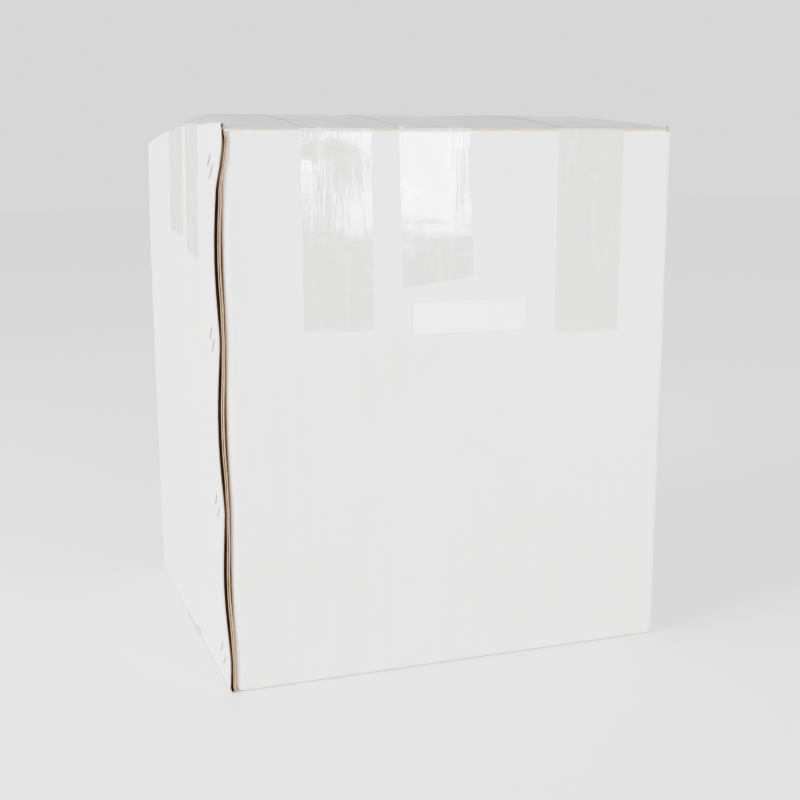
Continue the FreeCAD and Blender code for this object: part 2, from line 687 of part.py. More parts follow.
def involute_wheel(module, teeth, face, turn, backlash, bore):
    """A gear about Z whose flanks are two chords of the involute, from root to tip.

    The section at each end is turned by half of `turn` degrees, so the teeth follow a helix.
    """
    pitch = module * teeth / 2
    base = pitch * math.cos(math.radians(d.pressure_angle.value))
    tip, root = pitch + module, pitch - module * DEDENDUM
    low = max(base, root)
    half_tooth = math.pi / teeth / 2 - backlash / pitch / 4

    def roll(radius):
        """The involute's polar angle at a radius."""
        return math.tan(math.acos(base / radius)) - math.acos(base / radius)

    def section(height, shift):
        """One end's outline: foot, two chords up a flank, and the same down again, for each tooth."""
        corners = []
        for number in range(teeth):
            middle = 2 * math.pi * number / teeth + shift
            rising = [(root, low), (low, low), ((low + tip) / 2,) * 2, (tip, tip)]
            if low == root:
                rising = rising[1:]
            for side, steps in ((-1, rising), (1, rising[::-1])):
                for radius, on_flank in steps:
                    angle = middle + side * (half_tooth + roll(pitch) - roll(on_flank))
                    corners.append(Vector(radius * math.cos(angle), radius * math.sin(angle), height))
        return Part.makePolygon(corners + corners[:1])

    half_turn = math.radians(turn) / 2
    solid = Part.makeLoft([section(-face / 2, -half_turn), section(face / 2, half_turn)], True, True)
    return solid.cut(Part.makeCylinder(bore / 2, face * 2, Vector(0, 0, -face)))


def worm_wheel(lead):
    """The bronze wheel, its teeth on the helix of the worm's lead."""
    lead_angle = math.atan(lead / (math.pi * d.worm_pitch_size.value))
    teeth = int(d.wheel_teeth.value)
    turn = math.degrees(d.wheel_face.value * math.tan(lead_angle) / wheel_radius.value)
    bore = d.output_size.value + 2 * d.running_gap.value
    wheel = involute_wheel(d.gear_module.value, teeth, d.wheel_face.value, turn, d.mesh_backlash.value, bore)
    gap_to_top = 90 - 180 / teeth
    wheel.rotate(Vector(), Vector(0, 0, 1), gap_to_top - 360 / teeth * int(teeth / 4))
    item = keep("worm_wheel", make_solid("worm_wheel", wheel))
    item.Placement = FreeCAD.Placement(Vector(d.wheel_across.value, axis_y.value, wheel_z.value),
                                       Rotation(Vector(1, 0, 0), 90))


def worm_thread(lead, root, tip):
    """The worm's thread about Z: its section, turned and raised step by step, joined by flat triangles."""
    pitch_radius = d.worm_pitch_size.value / 2
    slope = math.tan(math.radians(d.pressure_angle.value))
    half_pitch = lead / 4 - d.mesh_backlash.value / 4
    foot = root - d.thread_sink.value
    wide = half_pitch + (pitch_radius - foot) * slope
    narrow = half_pitch - (tip - pitch_radius) * slope
    section = [Vector(foot, 0, -wide), Vector(tip, 0, -narrow), Vector(tip, 0, narrow), Vector(foot, 0, wide)]
    places = [[Rotation(Vector(0, 0, 1), 360 * number / THREAD_STEPS).multVec(corner)
               + Vector(0, 0, lead * number / THREAD_STEPS) for corner in section]
              for number in range(int(d.worm_length.value / lead * THREAD_STEPS) + 1)]
    outlines = [places[0], places[-1][::-1]]
    for here, there in zip(places, places[1:]):
        for index in range(4):
            following = (index + 1) % 4
            outlines.append([here[index], there[index], there[following]])
            outlines.append([here[index], there[following], here[following]])
    faces = [Part.Face(Part.makePolygon(outline + outline[:1])) for outline in outlines]
    return Part.makeSolid(Part.makeShell(faces))


def rotor_shaft():
    """The rotor shaft from the end bell to the worm cap, with the worm's thread cut on it."""
    module = d.gear_module.value
    lead = math.pi * module
    worm_wheel(lead)
    root = d.worm_pitch_size.value / 2 - module * DEDENDUM
    tip = d.worm_pitch_size.value / 2 + module - d.thread_clearance.value
    thread = worm_thread(lead, root, tip)
    start = bell_bearing_x.value
    end = outer_bearing_x.value + d.rotor_bearing_width.value
    middle = d.wheel_across.value
    half = d.worm_length.value / 2
    shaft = Part.makeCylinder(d.rotor_size.value / 2 - d.running_gap.value, end - start, Vector(0, 0, start))
    corners = [Rotation(Vector(0, 0, 1), 360 * number / RING_SIDES).multVec(
        Vector(root, 0, middle - half - lead / 2)) for number in range(RING_SIDES)]
    core = Part.Face(Part.makePolygon(corners + corners[:1])).extrude(Vector(0, 0, 2 * half + lead))
    thread.rotate(Vector(), Vector(0, 0, 1), 180 - 360 * half / lead)
    thread.translate(Vector(0, 0, middle - half))
    item = keep("worm_shaft", make_solid("worm_shaft", core.fuse(thread).fuse(shaft)))
    item.Placement = FreeCAD.Placement(Vector(0, axis_y.value, worm_z.value), Rotation(Vector(0, 1, 0), 90))


def output_drive():
    """The output shaft with its key, the rack pinion, and the bolt and washer that hold it."""
    start = front_bearing_y
    journal = d.output_size / 2 - d.running_gap
    shaft = rod("shaft_bar", "y", (d.wheel_across, start, wheel_z), journal,
                pinion_end - d.shaft_end_gap - start)
    key_y = (pinion_start + d.pinion_gap, pinion_start + d.pinion_gap + d.key_length)
    key_x = (d.wheel_across - d.key_width / 2, d.wheel_across + d.key_width / 2)
    key_z = (wheel_z + d.output_size / 2 - d.key_height / 2, wheel_z + d.output_size / 2 + d.key_height / 2)
    seat = block("key_seat", key_x, key_y, key_z)
    tapped = prism("shaft_thread", "y", (d.wheel_across, pinion_start, wheel_z), d.pinion_bolt_size / 2,
                   d.pinion_face, SMALL_SIDES)
    keep("output_shaft", cut("output_shaft", shaft, seat, tapped))
    keep("shaft_key", block("shaft_key", key_x, key_y, key_z))
    pinion = involute_wheel(d.pinion_module.value, int(d.pinion_teeth.value), d.pinion_face.value, 0,
                            d.mesh_backlash.value, d.output_size.value)
    keyway = Part.makeBox(d.key_height.value, d.key_width.value, d.pinion_face.value * 2, Vector(
        (d.output_size.value - d.key_height.value) / 2, -d.key_width.value / 2, -d.pinion_face.value))
    item = keep("drive_pinion", make_solid("drive_pinion", pinion.cut(keyway)))
    middle = (pinion_start + d.pinion_face / 2).value
    turn = Rotation(Vector(1, 0, 0), 90).multiply(Rotation(Vector(0, 0, 1), 90))
    item.Placement = FreeCAD.Placement(Vector(d.wheel_across.value, middle, wheel_z.value), turn)
    keep("pinion_washer", ring("pinion_washer", "y", (d.wheel_across, pinion_end, wheel_z), d.washer_size,
                               d.pinion_bolt_size, d.washer_thick))
    length = d.pinion_face * 0.6
    keep("pinion_bolt", hex_bolt("pinion_bolt", "y",
                                 (d.wheel_across, pinion_end + d.washer_thick - length, wheel_z),
                                 d.pinion_bolt_size, length, d.pinion_bolt_flats, d.pinion_bolt_head))


def bearings():
    """The ball bearings of both shafts and the oil seal of the output shaft, as closed rings."""
    group("output_bearings", [
        ring("output_bearing", "y", (d.wheel_across, y, wheel_z), d.output_bearing_size, d.output_size,
             d.output_bearing_width) for y in (front_bearing_y, rear_bearing_y)])
    group("rotor_bearings", [
        ring("rotor_bearing", "x", (x, axis_y, worm_z), d.rotor_bearing_size, d.rotor_size,
             d.rotor_bearing_width) for x in (bell_bearing_x, inner_bearing_x, outer_bearing_x)])
    keep("shaft_seal", ring("shaft_seal", "y", (d.wheel_across, cover_face - d.seal_width, wheel_z),
                            d.seal_size, d.output_size, d.seal_width))


# ---------------------------------------------------------------------------------------------
# Electric motor
# ---------------------------------------------------------------------------------------------

def electric_motor():
    """Stator, windings, rotor core and the cast end bell with its tie bolts."""
    half, corner = d.stator_size / 2, d.stator_size / 2 - d.stator_chamfer
    quarter = ((half, -corner), (half, corner), (corner, half), (-corner, half))
    outline = [(axis_y + side * across, worm_z + side * up) for side in (1, -1) for across, up in quarter]
    bolts = around(d.tie_bolt_circle, 4, 45)
    holes = [flats(axis_y + y, worm_z + z, d.tie_bolt_size / 2, SMALL_SIDES) for y, z in bolts]
    stator = new_body("stator_core")
    pad(stator, "YZ_Plane", stator_left, d.block_face, outline,
        flats(axis_y, worm_z, d.stator_bore / 2, RING_SIDES), *holes)

    bell = new_body("end_bell")
    pad(bell, "YZ_Plane", bell_left, stator_left, outline, *holes)
    soften(bell, "Chamfer", d.bell_wall,
           lambda edge: lying_at("X", bell_left)(edge) and edge.Length > d.tie_bolt_size.value * 2)
    pocket(bell, "YZ_Plane", bell_left + d.bell_wall, stator_left,
           (axis_y, worm_z, (d.winding_size - d.winding_gap) / 2))
    seat = d.rotor_bearing_size / 2
    pad(bell, "YZ_Plane", bell_left + d.bell_wall, bell_bearing_x + d.rotor_bearing_width,
        flats(axis_y, worm_z, seat + d.bell_wall, RING_SIDES), flats(axis_y, worm_z, seat, RING_SIDES))
    group("tie_bolts", [
        joined("tie_bolt",
               prism("tie_shank", "x", (bell_left, axis_y + y, worm_z + z), d.tie_bolt_size / 2,
                     d.stator_length + d.bell_depth, SMALL_SIDES),
               prism("tie_head", "x", (bell_left - d.screw_head, axis_y + y, worm_z + z),
                     d.screw_flats / math.sqrt(3), d.screw_head, 6)) for y, z in bolts])

    windings = []
    for place, free_end in ((d.block_face, d.block_face + d.winding_length),
                            (stator_left - d.winding_length, stator_left - d.winding_length)):
        body = doc.addObject("PartDesign::Body", "winding")
        pad(body, "YZ_Plane", place, place + d.winding_length,
            flats(axis_y, worm_z, d.winding_size / 2 - d.winding_gap, RING_SIDES),
            flats(axis_y, worm_z, d.stator_bore / 2 + d.winding_gap, RING_SIDES))
        soften(body, "Chamfer", d.winding_length / 4, lying_at("X", free_end))
        windings.append(body)
    group("stator_windings", windings)

    rotor = d.stator_bore - d.air_gap * 2
    ends = d.winding_length / 2
    keep("rotor_core", joined("rotor_core",
                              ring("lamination", "x", (stator_left, axis_y, worm_z), rotor, d.rotor_size,
                                   d.stator_length),
                              ring("end_ring", "x", (stator_left - ends, axis_y, worm_z), rotor * 0.8,
                                   d.rotor_size, ends),
                              ring("end_ring", "x", (d.block_face, axis_y, worm_z), rotor * 0.8,
                                   d.rotor_size, ends)))


# ---------------------------------------------------------------------------------------------
# Cover, electrics, release and limit switch
# ---------------------------------------------------------------------------------------------

def lid_outline(inset, radius):
    """A rectangle set in from the housing's walls, whose corners are arcs of short flats."""
    reach_x, reach_y = motor_x - inset - radius, d.housing_depth / 2 - inset - radius
    points = []
    for quarter, (side_x, side_y) in enumerate(((1, 1), (-1, 1), (-1, -1), (1, -1))):
        for step in range(CORNER_STEPS + 1):
            angle = math.pi / 2 * (quarter + step / CORNER_STEPS)
            points.append((side_x * reach_x + radius * math.cos(angle),
                           d.housing_shift + side_y * reach_y + radius * math.sin(angle)))
    return points


def lid_loft(body, kind, inset):
    """Lofts the cover's form, or its hollow when set in: leaning walls, then a sloping crown."""
    radius = d.lid_radius - inset
    top = lid_top - inset
    sections = [(rim_level, lid_outline(inset, radius)),
                (top - d.crown_drop, lid_outline(inset + d.lid_lean, radius)),
                (top, lid_outline(inset + d.lid_lean + d.crown_inset, radius - d.crown_inset / 2))]
    sketches = [sketch_on(body, "XY_Plane", height, [outline]) for height, outline in sections]
    loft = body.newObject("PartDesign::" + kind, "loft")
    loft.Profile = sketches[0]
    loft.Sections = sketches[1:]
    loft.Ruled = True


def top_cover():
    """The moulded cover: a thin shell with leaning walls, rounded corners and an open underside."""
    body = new_body("top_cover")
    lid_loft(body, "AdditiveLoft", ZERO)
    lid_loft(body, "SubtractiveLoft", d.lid_wall)


def electrics():
    """The shelf over the motor with the circuit board, transformer, capacitor and terminals."""
    shelf_z = block_top + d.shelf_gap
    x_low = bell_left - d.screw_head - d.shelf_gap
    x_high = x_low + d.shelf_length
    y_low = d.housing_shift - d.shelf_width / 2
    y_high = d.housing_shift + d.shelf_width / 2
    shelf = new_body("electrics_shelf")
    bracket = [(x_low, cavity_floor), (x_low + d.shelf_thick, cavity_floor),
               (x_low + d.shelf_thick, shelf_z), (x_high, shelf_z), (x_high, shelf_z + d.shelf_thick),
               (x_low, shelf_z + d.shelf_thick)]
    pad(shelf, "XZ_Plane", y_low, y_high, bracket)
    posts = (d.block_face + d.post_inset, motor_x - d.housing_wall - d.housing_radius - d.post_inset)
    group("shelf_posts", [prism("shelf_post", "z", (x, axis_y, block_top), d.spacer_size, d.shelf_gap, 6)
                          for x in posts])
    left = x_low + d.spacer_size
    right = left + d.circuit_length
    near = y_low + d.spacer_size
    far = near + d.circuit_width
    inset = d.spacer_size
    places = [(x, y) for x in (left + inset, right - inset) for y in (near + inset, far - inset)]
    board_z = shelf_z + d.shelf_thick + d.spacer_height
    board = new_body("control_board")
    pad(board, "XY_Plane", board_z, board_z + d.circuit_thick, rectangle(left, right, near, far),
        *[flats(x, y, d.spacer_size / 4, 6) for x, y in places])
    group("board_spacers", [prism("board_spacer", "z", (x, y, board_z - d.spacer_height), d.spacer_size / 2,
                                  d.spacer_height, 6) for x, y in places])
    top = board_z + d.circuit_thick
    start = left + inset * 3
    terminals = new_body("terminal_block")
    pad(terminals, "XY_Plane", top, top + d.terminal_height,
        rectangle(start, start + d.terminal_length, near, near + d.terminal_width))
    for number in range(int(d.terminal_length.value // d.terminal_pitch.value)):
        x = start + d.terminal_pitch * (number + 0.5)
        pocket(terminals, "XY_Plane", top + d.terminal_height * 0.6, top + d.terminal_height,
               flats(x, near + d.terminal_width / 2, d.terminal_pitch * 0.3, SMALL_SIDES))
    core_x = (right - d.transformer_length - inset * 2, right - inset * 2)
    core_y = (far - d.transformer_width, far - inset * 2)
    keep("transformer", joined(
        "transformer",
        block("core", core_x, core_y, (top, top + d.transformer_height)),
        block("coil", (core_x[0] + inset, core_x[1] - inset), (core_y[0] - inset, core_y[1] + inset),
              (top + d.transformer_height * 0.2, top + d.transformer_height * 0.8))))
    radius = d.capacitor_size / 2
    keep("run_capacitor", prism("run_capacitor", "x",
                                (start - inset, far - d.transformer_width / 2, top + radius), radius,
                                d.capacitor_length, RING_SIDES))


def cable_gland():
    """The hexagonal gland and its lock nut, screwed through the housing's left wall below the rim."""
    y, z = motor_front + d.housing_radius + d.gland_size, rim_level - d.gland_size
    neck = d.gland_size * 0.35
    outside, inside = -motor_x - d.gland_length, -motor_x + d.housing_wall
    solid = joined("gland_body",
                   prism("gland_head", "x", (outside, y, z), d.gland_size / 2, d.gland_length, 6),
                   prism("gland_neck", "x", (-motor_x, y, z), neck, d.housing_wall, SMALL_SIDES),
                   prism("gland_nut", "x", (inside, y, z), d.gland_size / 2, d.gland_nut, 6))
    bore = prism("gland_bore", "x", (outside, y, z), d.gland_bore / 2,
                 d.gland_length + d.housing_wall + d.gland_nut, SMALL_SIDES)
    keep("cable_gland", cut("cable_gland", solid, bore))
    pocket(NODES["gear_housing"], "YZ_Plane", -motor_x, inside, flats(y, z, neck, SMALL_SIDES))


def release():
    """The manual release knob on the housing's front and the lock barrel beside it."""
    radius, thick = d.knob_size / 2, d.knob_thick
    knob_z = zero_level + d.knob_level
    front = motor_front - d.fit_gap
    x = d.knob_across
    knob = new_body("release_knob")
    pad(knob, "XZ_Plane", front - thick, front, flats(x, knob_z, radius, KNOB_FLUTES))
    soften(knob, "Chamfer", thick / 4, lying_at("Y", front - thick))
    half, long = d.knob_grip_width / 2, radius * 0.8
    pad(knob, "XZ_Plane", front - thick - d.knob_grip, front - thick,
        [(x + side * across, knob_z + side * up) for side in (1, -1)
         for across, up in ((long, -half * 0.6), (long, half * 0.6), (half, half), (-half, half))])
    pad(knob, "XZ_Plane", front, front + d.fit_gap + d.housing_wall + d.bearing_lip,
        flats(x, knob_z, d.knob_stem / 2 - d.running_gap * 4, RING_SIDES))
    pocket(NODES["gear_housing"], "XZ_Plane", motor_front, motor_front + d.housing_wall,
           flats(x, knob_z, d.knob_stem / 2, RING_SIDES))
    lock_x = x - radius - d.lock_size
    lock = d.lock_size / 2
    face = motor_front - d.shelf_thick
    barrel = joined("barrel",
                    prism("lock_flange", "y", (lock_x, face, knob_z), lock * 1.2, d.shelf_thick, RING_SIDES),
                    prism("lock_tube", "y", (lock_x, face, knob_z), lock, d.lock_length, RING_SIDES))
    slot = block("key_slot", (lock_x - lock / 8, lock_x + lock / 8), (face, motor_front + d.shelf_thick),
                 (knob_z - lock / 2, knob_z + lock / 2))
    keep("lock_barrel", cut("lock_barrel", barrel, slot))
    pocket(NODES["gear_housing"], "XZ_Plane", motor_front, motor_front + d.housing_wall,
           flats(lock_x, knob_z, lock, RING_SIDES))


def limit_switch():
    """The limit switch on the rack side and the sprung arm that the stops on the rack push over."""
    x = d.switch_across
    top = rim_level
    half = d.switch_length / 2
    box = new_body("limit_switch")
    pad(box, "XY_Plane", top - d.switch_height, top,
        rectangle(x - half, x + half, motor_back, motor_back + d.switch_width))
    soften(box, "Fillet", d.spacer_size / 2, lambda edge: upright(edge)
           and edge.Vertexes[0].Point.y > motor_back.value + 1)
    hub_z = top - d.arm_hub
    pin = d.arm_size / 2
    outer = motor_back + d.switch_width
    pad(box, "XZ_Plane", outer, outer + d.arm_hub_width + d.fit_gap * 2, (x, hub_z, pin))
    arm = new_body("limit_arm")
    start = outer + d.fit_gap
    pad(arm, "XZ_Plane", start, start + d.arm_hub_width, flats(x, hub_z, d.arm_hub / 2, RING_SIDES),
        flats(x, hub_z, pin + d.running_gap, RING_SIDES))
    pad(arm, "XZ_Plane", start, start + d.arm_hub_width,
        [(x - pin, hub_z + d.arm_hub * 0.45), (x + pin, hub_z + d.arm_hub * 0.45),
         (x + pin, hub_z + d.arm_length), (x - pin, hub_z + d.arm_length)])


# ---------------------------------------------------------------------------------------------
# Build, check and write
# ---------------------------------------------------------------------------------------------

def check_document():
    """Stops if an object failed, a cut removed nothing or a piece has no sound solid."""
    for item in doc.Objects:
        if {"Invalid", "Error"} & set(item.State):
            owner = item.getParentGeoFeatureGroup()
            raise SystemExit("failed: %s of %s" % (item.Name, owner.Label if owner else item.Label))
        if item.TypeId == "PartDesign::Pocket":
            if item.Shape.Volume > item.BaseFeature.Shape.Volume - 1e-3:
                raise SystemExit("cuts nothing: %s in %s" % (item.Name, item.getParentGeoFeatureGroup().Label))
    for name, item in NODES.items():
        shape = item.Shape
        if shape.isNull() or not shape.isValid() or not shape.Solids:
            raise SystemExit("no sound solid: %s" % name)


def main():
    """Builds every piece and writes each to its own file."""
    carton_sleeve()
    top_flap("front_top_flap", -1)
    top_flap("back_top_flap", 1)
    fixed_flaps()
    tape()
    front_trim()
    packing()
    foundation()
    gear_housing()
    gear_closures()
    rotor_shaft()
    output_drive()
    bearings()
    electric_motor()
    top_cover()
    electrics()
    cable_gland()
    release()
    limit_switch()
    doc.recompute()
    check_document()
    os.makedirs("parts", exist_ok=True)
    for name, item in NODES.items():
        item.Shape.exportStep("parts/%s.step" % name)
        box = item.Shape.BoundBox
        print("%-20s %2d solids %10.1f mm3  x %7.1f %7.1f  y %7.1f %7.1f  z %7.1f %7.1f" % (
            name, len(item.Shape.Solids), item.Shape.Volume, box.XMin, box.XMax, box.YMin, box.YMax,
            box.ZMin, box.ZMax))
    print(len(NODES), "pieces")


main()
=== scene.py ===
"""Dresses a sliding gate motor that stands packed in its taped and stapled corrugated carton.

The carton's walls, folds, flaps, tape, label and staples are surfaces worked out here, in metres, in
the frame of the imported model. The motor and its packing inside keep their own shapes and get finishes.
"""

import json
import logging
import math
from dataclasses import dataclass, field
from enum import Enum
from functools import cache

import bmesh
import bpy
import numpy as np
from mathutils import Euler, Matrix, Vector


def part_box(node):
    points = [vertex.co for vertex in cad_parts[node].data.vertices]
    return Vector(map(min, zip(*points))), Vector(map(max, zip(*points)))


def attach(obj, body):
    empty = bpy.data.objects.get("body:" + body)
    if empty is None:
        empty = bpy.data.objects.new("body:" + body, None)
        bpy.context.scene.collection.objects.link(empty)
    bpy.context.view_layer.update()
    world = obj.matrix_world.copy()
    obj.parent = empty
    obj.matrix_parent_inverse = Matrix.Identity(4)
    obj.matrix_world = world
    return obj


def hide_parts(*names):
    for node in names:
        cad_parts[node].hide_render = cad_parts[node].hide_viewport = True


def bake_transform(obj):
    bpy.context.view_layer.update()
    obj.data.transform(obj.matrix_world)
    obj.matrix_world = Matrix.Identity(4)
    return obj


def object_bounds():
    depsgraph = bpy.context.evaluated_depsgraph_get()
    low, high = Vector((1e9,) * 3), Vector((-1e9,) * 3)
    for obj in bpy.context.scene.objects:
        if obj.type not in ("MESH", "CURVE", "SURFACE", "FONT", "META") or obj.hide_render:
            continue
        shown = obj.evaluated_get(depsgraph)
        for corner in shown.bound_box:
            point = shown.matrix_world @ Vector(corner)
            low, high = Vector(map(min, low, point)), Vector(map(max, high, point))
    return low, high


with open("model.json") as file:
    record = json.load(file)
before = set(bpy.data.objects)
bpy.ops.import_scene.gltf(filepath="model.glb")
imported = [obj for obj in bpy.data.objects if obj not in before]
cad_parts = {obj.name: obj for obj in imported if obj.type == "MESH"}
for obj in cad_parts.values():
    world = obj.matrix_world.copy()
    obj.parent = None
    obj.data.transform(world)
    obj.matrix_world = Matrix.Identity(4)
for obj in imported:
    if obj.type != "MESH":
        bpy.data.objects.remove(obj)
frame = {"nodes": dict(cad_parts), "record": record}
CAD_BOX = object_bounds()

LOG = logging.getLogger("carton")
MM = 0.001
WELD = 2e-6
SLIVER = 1e-7
EIGHTH = math.pi / 4
DOWN = np.array([0.0, 0.0, -1.0])

Array = np.ndarray
Object = bpy.types.Object
Material = bpy.types.Material
Tree = bpy.types.NodeTree
Colour = tuple[float, float, float, float]
Place = tuple[float, float, float]


class Side(Enum):
    """The two long sides of the carton, by the sign of their Y."""

    FRONT = -1
    BACK = 1

    @property
    def word(self) -> str:
        """The side's word in the names of pieces."""
        return self.name.lower()

    @property
    def body(self) -> str:
        """The body that this side's top flap moves with."""
        return "%s_flap" % self.word


class Coat(Enum):
    """The material slots of a piece of board, in order."""

    OUTER = 0
    INNER = 1
    EDGE = 2
    # The open channels' faces: their material is kraft drawn near black, the shade inside the channels
    # painted in.
    CHANNEL = 3


# Arrays into meshes


def smoothstep(low: float, high: float, value: Array) -> Array:
    """Rises from 0 at `low` to 1 at `high` by the cubic 3t^2 - 2t^3."""
    t = np.clip((value - low) / (high - low), 0.0, 1.0)
    return t * t * (3.0 - 2.0 * t)


def bell(value: Array, centre: float, width: float) -> Array:
    """A bell of height 1 about a centre: e to the minus ((value - centre) / width) squared."""
    return np.exp(-(((value - centre) / width) ** 2))


def grid(first: Array, second: Array) -> list[Array]:
    """Two grids that hold every pair of the values, the first one's along the rows."""
    return np.meshgrid(first, second, indexing="ij")


def points(x: Array, y: Array, z: Array) -> Array:
    """Coordinates of any matching shapes as one array of points."""
    return np.stack(np.broadcast_arrays(x, y, z), axis=-1)


def spread(low: float, high: float, step: float) -> Array:
    """Evenly spaced values from low to high, no further apart than the step."""
    return np.linspace(low, high, max(2, int(math.ceil((high - low) / step)) + 1))


def ripple(first: Array, second: Array, seed: int, size: float, waves: int = 7) -> Array:
    """A gentle unevenness: a sum of sines in seeded directions, between -1 and 1.

    Args:
        first: one coordinate, in metres.
        second: the other coordinate, in metres.
        seed: which unevenness it is.
        size: the shortest wavelength, in metres.
        waves: how many sines are summed.

    Returns:
        The height at each point, as a share of its greatest value.
    """
    draw = np.random.default_rng(seed)
    total = np.zeros(np.broadcast(first, second).shape)
    for _ in range(waves):
        angle = draw.uniform(0, math.pi)
        length = size * draw.uniform(1.0, 3.2)
        phase = draw.uniform(0, 2 * math.pi)
        total += np.sin(2 * math.pi * (first * math.cos(angle) + second * math.sin(angle)) / length + phase)
    return total / waves


@dataclass
class Patch:
    """A grid of points and the coat of its faces.

    Args:
        grid: rows by columns by 3, in metres.
        coat: the material slot of its faces.
        across: the coordinate across the board's flutes at each point, in metres.
        wear: how rubbed the board is at each point, 0 to 1.
    """

    grid: Array
    coat: Coat = Coat.OUTER
    across: Array | None = None
    wear: Array | None = None

    def values(self, given: Array | None) -> Array:
        """One number for each point, zero where none was given."""
        return np.broadcast_to(0.0 if given is None else given, self.grid.shape[:2])


def build_mesh(name: str, patches: list[Patch], materials: list[Material], sharp: float = 38.0) -> Object:
    """Joins patches that share their borders into one closed mesh whose faces point outwards.

    Args:
        name: the piece's name.
        patches: grids whose borders meet point for point.
        materials: one for each coat in use; coats past the last one share it.
        sharp: edges that bend by more degrees than this stay crisp.

    Returns:
        The new object, in the scene.
    """
    quads, coats = [], []
    start = 0
    for patch in patches:
        rows, columns = patch.grid.shape[:2]
        number = np.arange(rows * columns).reshape(rows, columns) + start
        quad = np.stack([number[:-1, :-1], number[1:, :-1], number[1:, 1:], number[:-1, 1:]], axis=-1)
        quads.append(quad.reshape(-1, 4))
        coats.append(np.full((rows - 1) * (columns - 1), min(patch.coat.value, len(materials) - 1)))
        start += rows * columns
    mesh = bpy.data.meshes.new(name)
    mesh.from_pydata(np.concatenate([patch.grid.reshape(-1, 3) for patch in patches]), [],
                     np.concatenate(quads))
    for word in ("across", "wear"):
        values = [patch.values(getattr(patch, word)).reshape(-1) for patch in patches]
        layer = mesh.attributes.new(word, "FLOAT", "POINT")
        layer.data.foreach_set("value", np.concatenate(values).astype(np.float32))
    mesh.polygons.foreach_set("material_index", np.concatenate(coats).astype(np.int32))
    for material in materials:
        mesh.materials.append(material)
    work = bmesh.new()
    work.from_mesh(mesh)
    bmesh.ops.remove_doubles(work, verts=work.verts, dist=WELD)
    bmesh.ops.dissolve_degenerate(work, edges=work.edges, dist=SLIVER)
    bmesh.ops.recalc_face_normals(work, faces=work.faces)
    work.to_mesh(mesh)
    work.free()
    mesh.shade_smooth()
    mesh.set_sharp_from_angle(angle=math.radians(sharp))
    piece = bpy.data.objects.new(name, mesh)
    bpy.context.scene.collection.objects.link(piece)
    return piece


def shell(outer: Array, inner: Array, across: Array | None = None,
          wear: Array | None = None, combs: dict[str, list[Patch]] | None = None) -> list[Patch]:
    """A sheet between two grids of equal size, closed all round.

    The four rims are straight strips from the outer border to the inner one, unless `combs` gives
    ready-made strips for a rim: first, last (rows) or low, high (columns).

    Args:
        outer: the face that shows.
        inner: the face behind it.
        across: the coordinate across the flutes on the outer face.
        wear: how rubbed the outer face is.
        combs: strips that stand for plain rims.

    Returns:
        The patches of the closed sheet.
    """
    face = Patch(outer, Coat.OUTER, across, wear)
    across, wear = face.values(across), face.values(wear)
    patches = [face, Patch(inner, Coat.INNER, across, wear)]
    rims = {"first": (0, slice(None)), "last": (-1, slice(None)), "low": (slice(None), 0),
            "high": (slice(None), -1)}
    for word, rim in rims.items():
        strip = np.stack([outer[rim], inner[rim]])
        patches += (combs or {}).get(word) or [Patch(strip, Coat.EDGE, across[rim], wear[rim])]
    return patches


def cap(loop: Array, middle: Array, coat: Coat) -> Patch:
    """A fan that closes an open end: a closed loop of points drawn to a point in its middle."""
    return Patch(np.stack([loop, np.broadcast_to(middle, loop.shape)]), coat)


# The carton's shape


@dataclass(frozen=True)
class Dent:
    """A bell-shaped push on a wall, in millimetres; a negative height goes inwards.

    Args:
        height: how far it pushes at its middle.
        along: the place of its middle along the wall.
        level: the height of its middle.
        wide: its width, as a bell's.
        tall: its height on the wall, as a bell's.
    """

    height: float
    along: float
    level: float
    wide: float
    tall: float

    def push(self, along: Array, level: Array) -> Array:
        """How far it pushes each place of a wall, in millimetres."""
        return self.height * bell(along / MM, self.along, self.wide) * bell(level / MM, self.level, self.tall)


@dataclass(frozen=True)
class Bulge:
    """How a wall stands out from flat, in millimetres.

    Args:
        arch: the height of its swell.
        uneven: the height of its slow ripple.
        seed: which ripple it is.
        wave: the ripple's shortest wavelength.
        dents: the single dents in it.
    """

    arch: float
    uneven: float
    seed: int
    wave: float
    dents: tuple[Dent, ...] = ()

    def out(self, along: Array, level: Array, arch: Array) -> Array:
        """The sum of swell, ripple and dents, by the share of the full swell at each place."""
        total = self.arch * arch + self.uneven * ripple(along, level, self.seed, self.wave * MM)
        return total + sum(dent.push(along, level) for dent in self.dents)


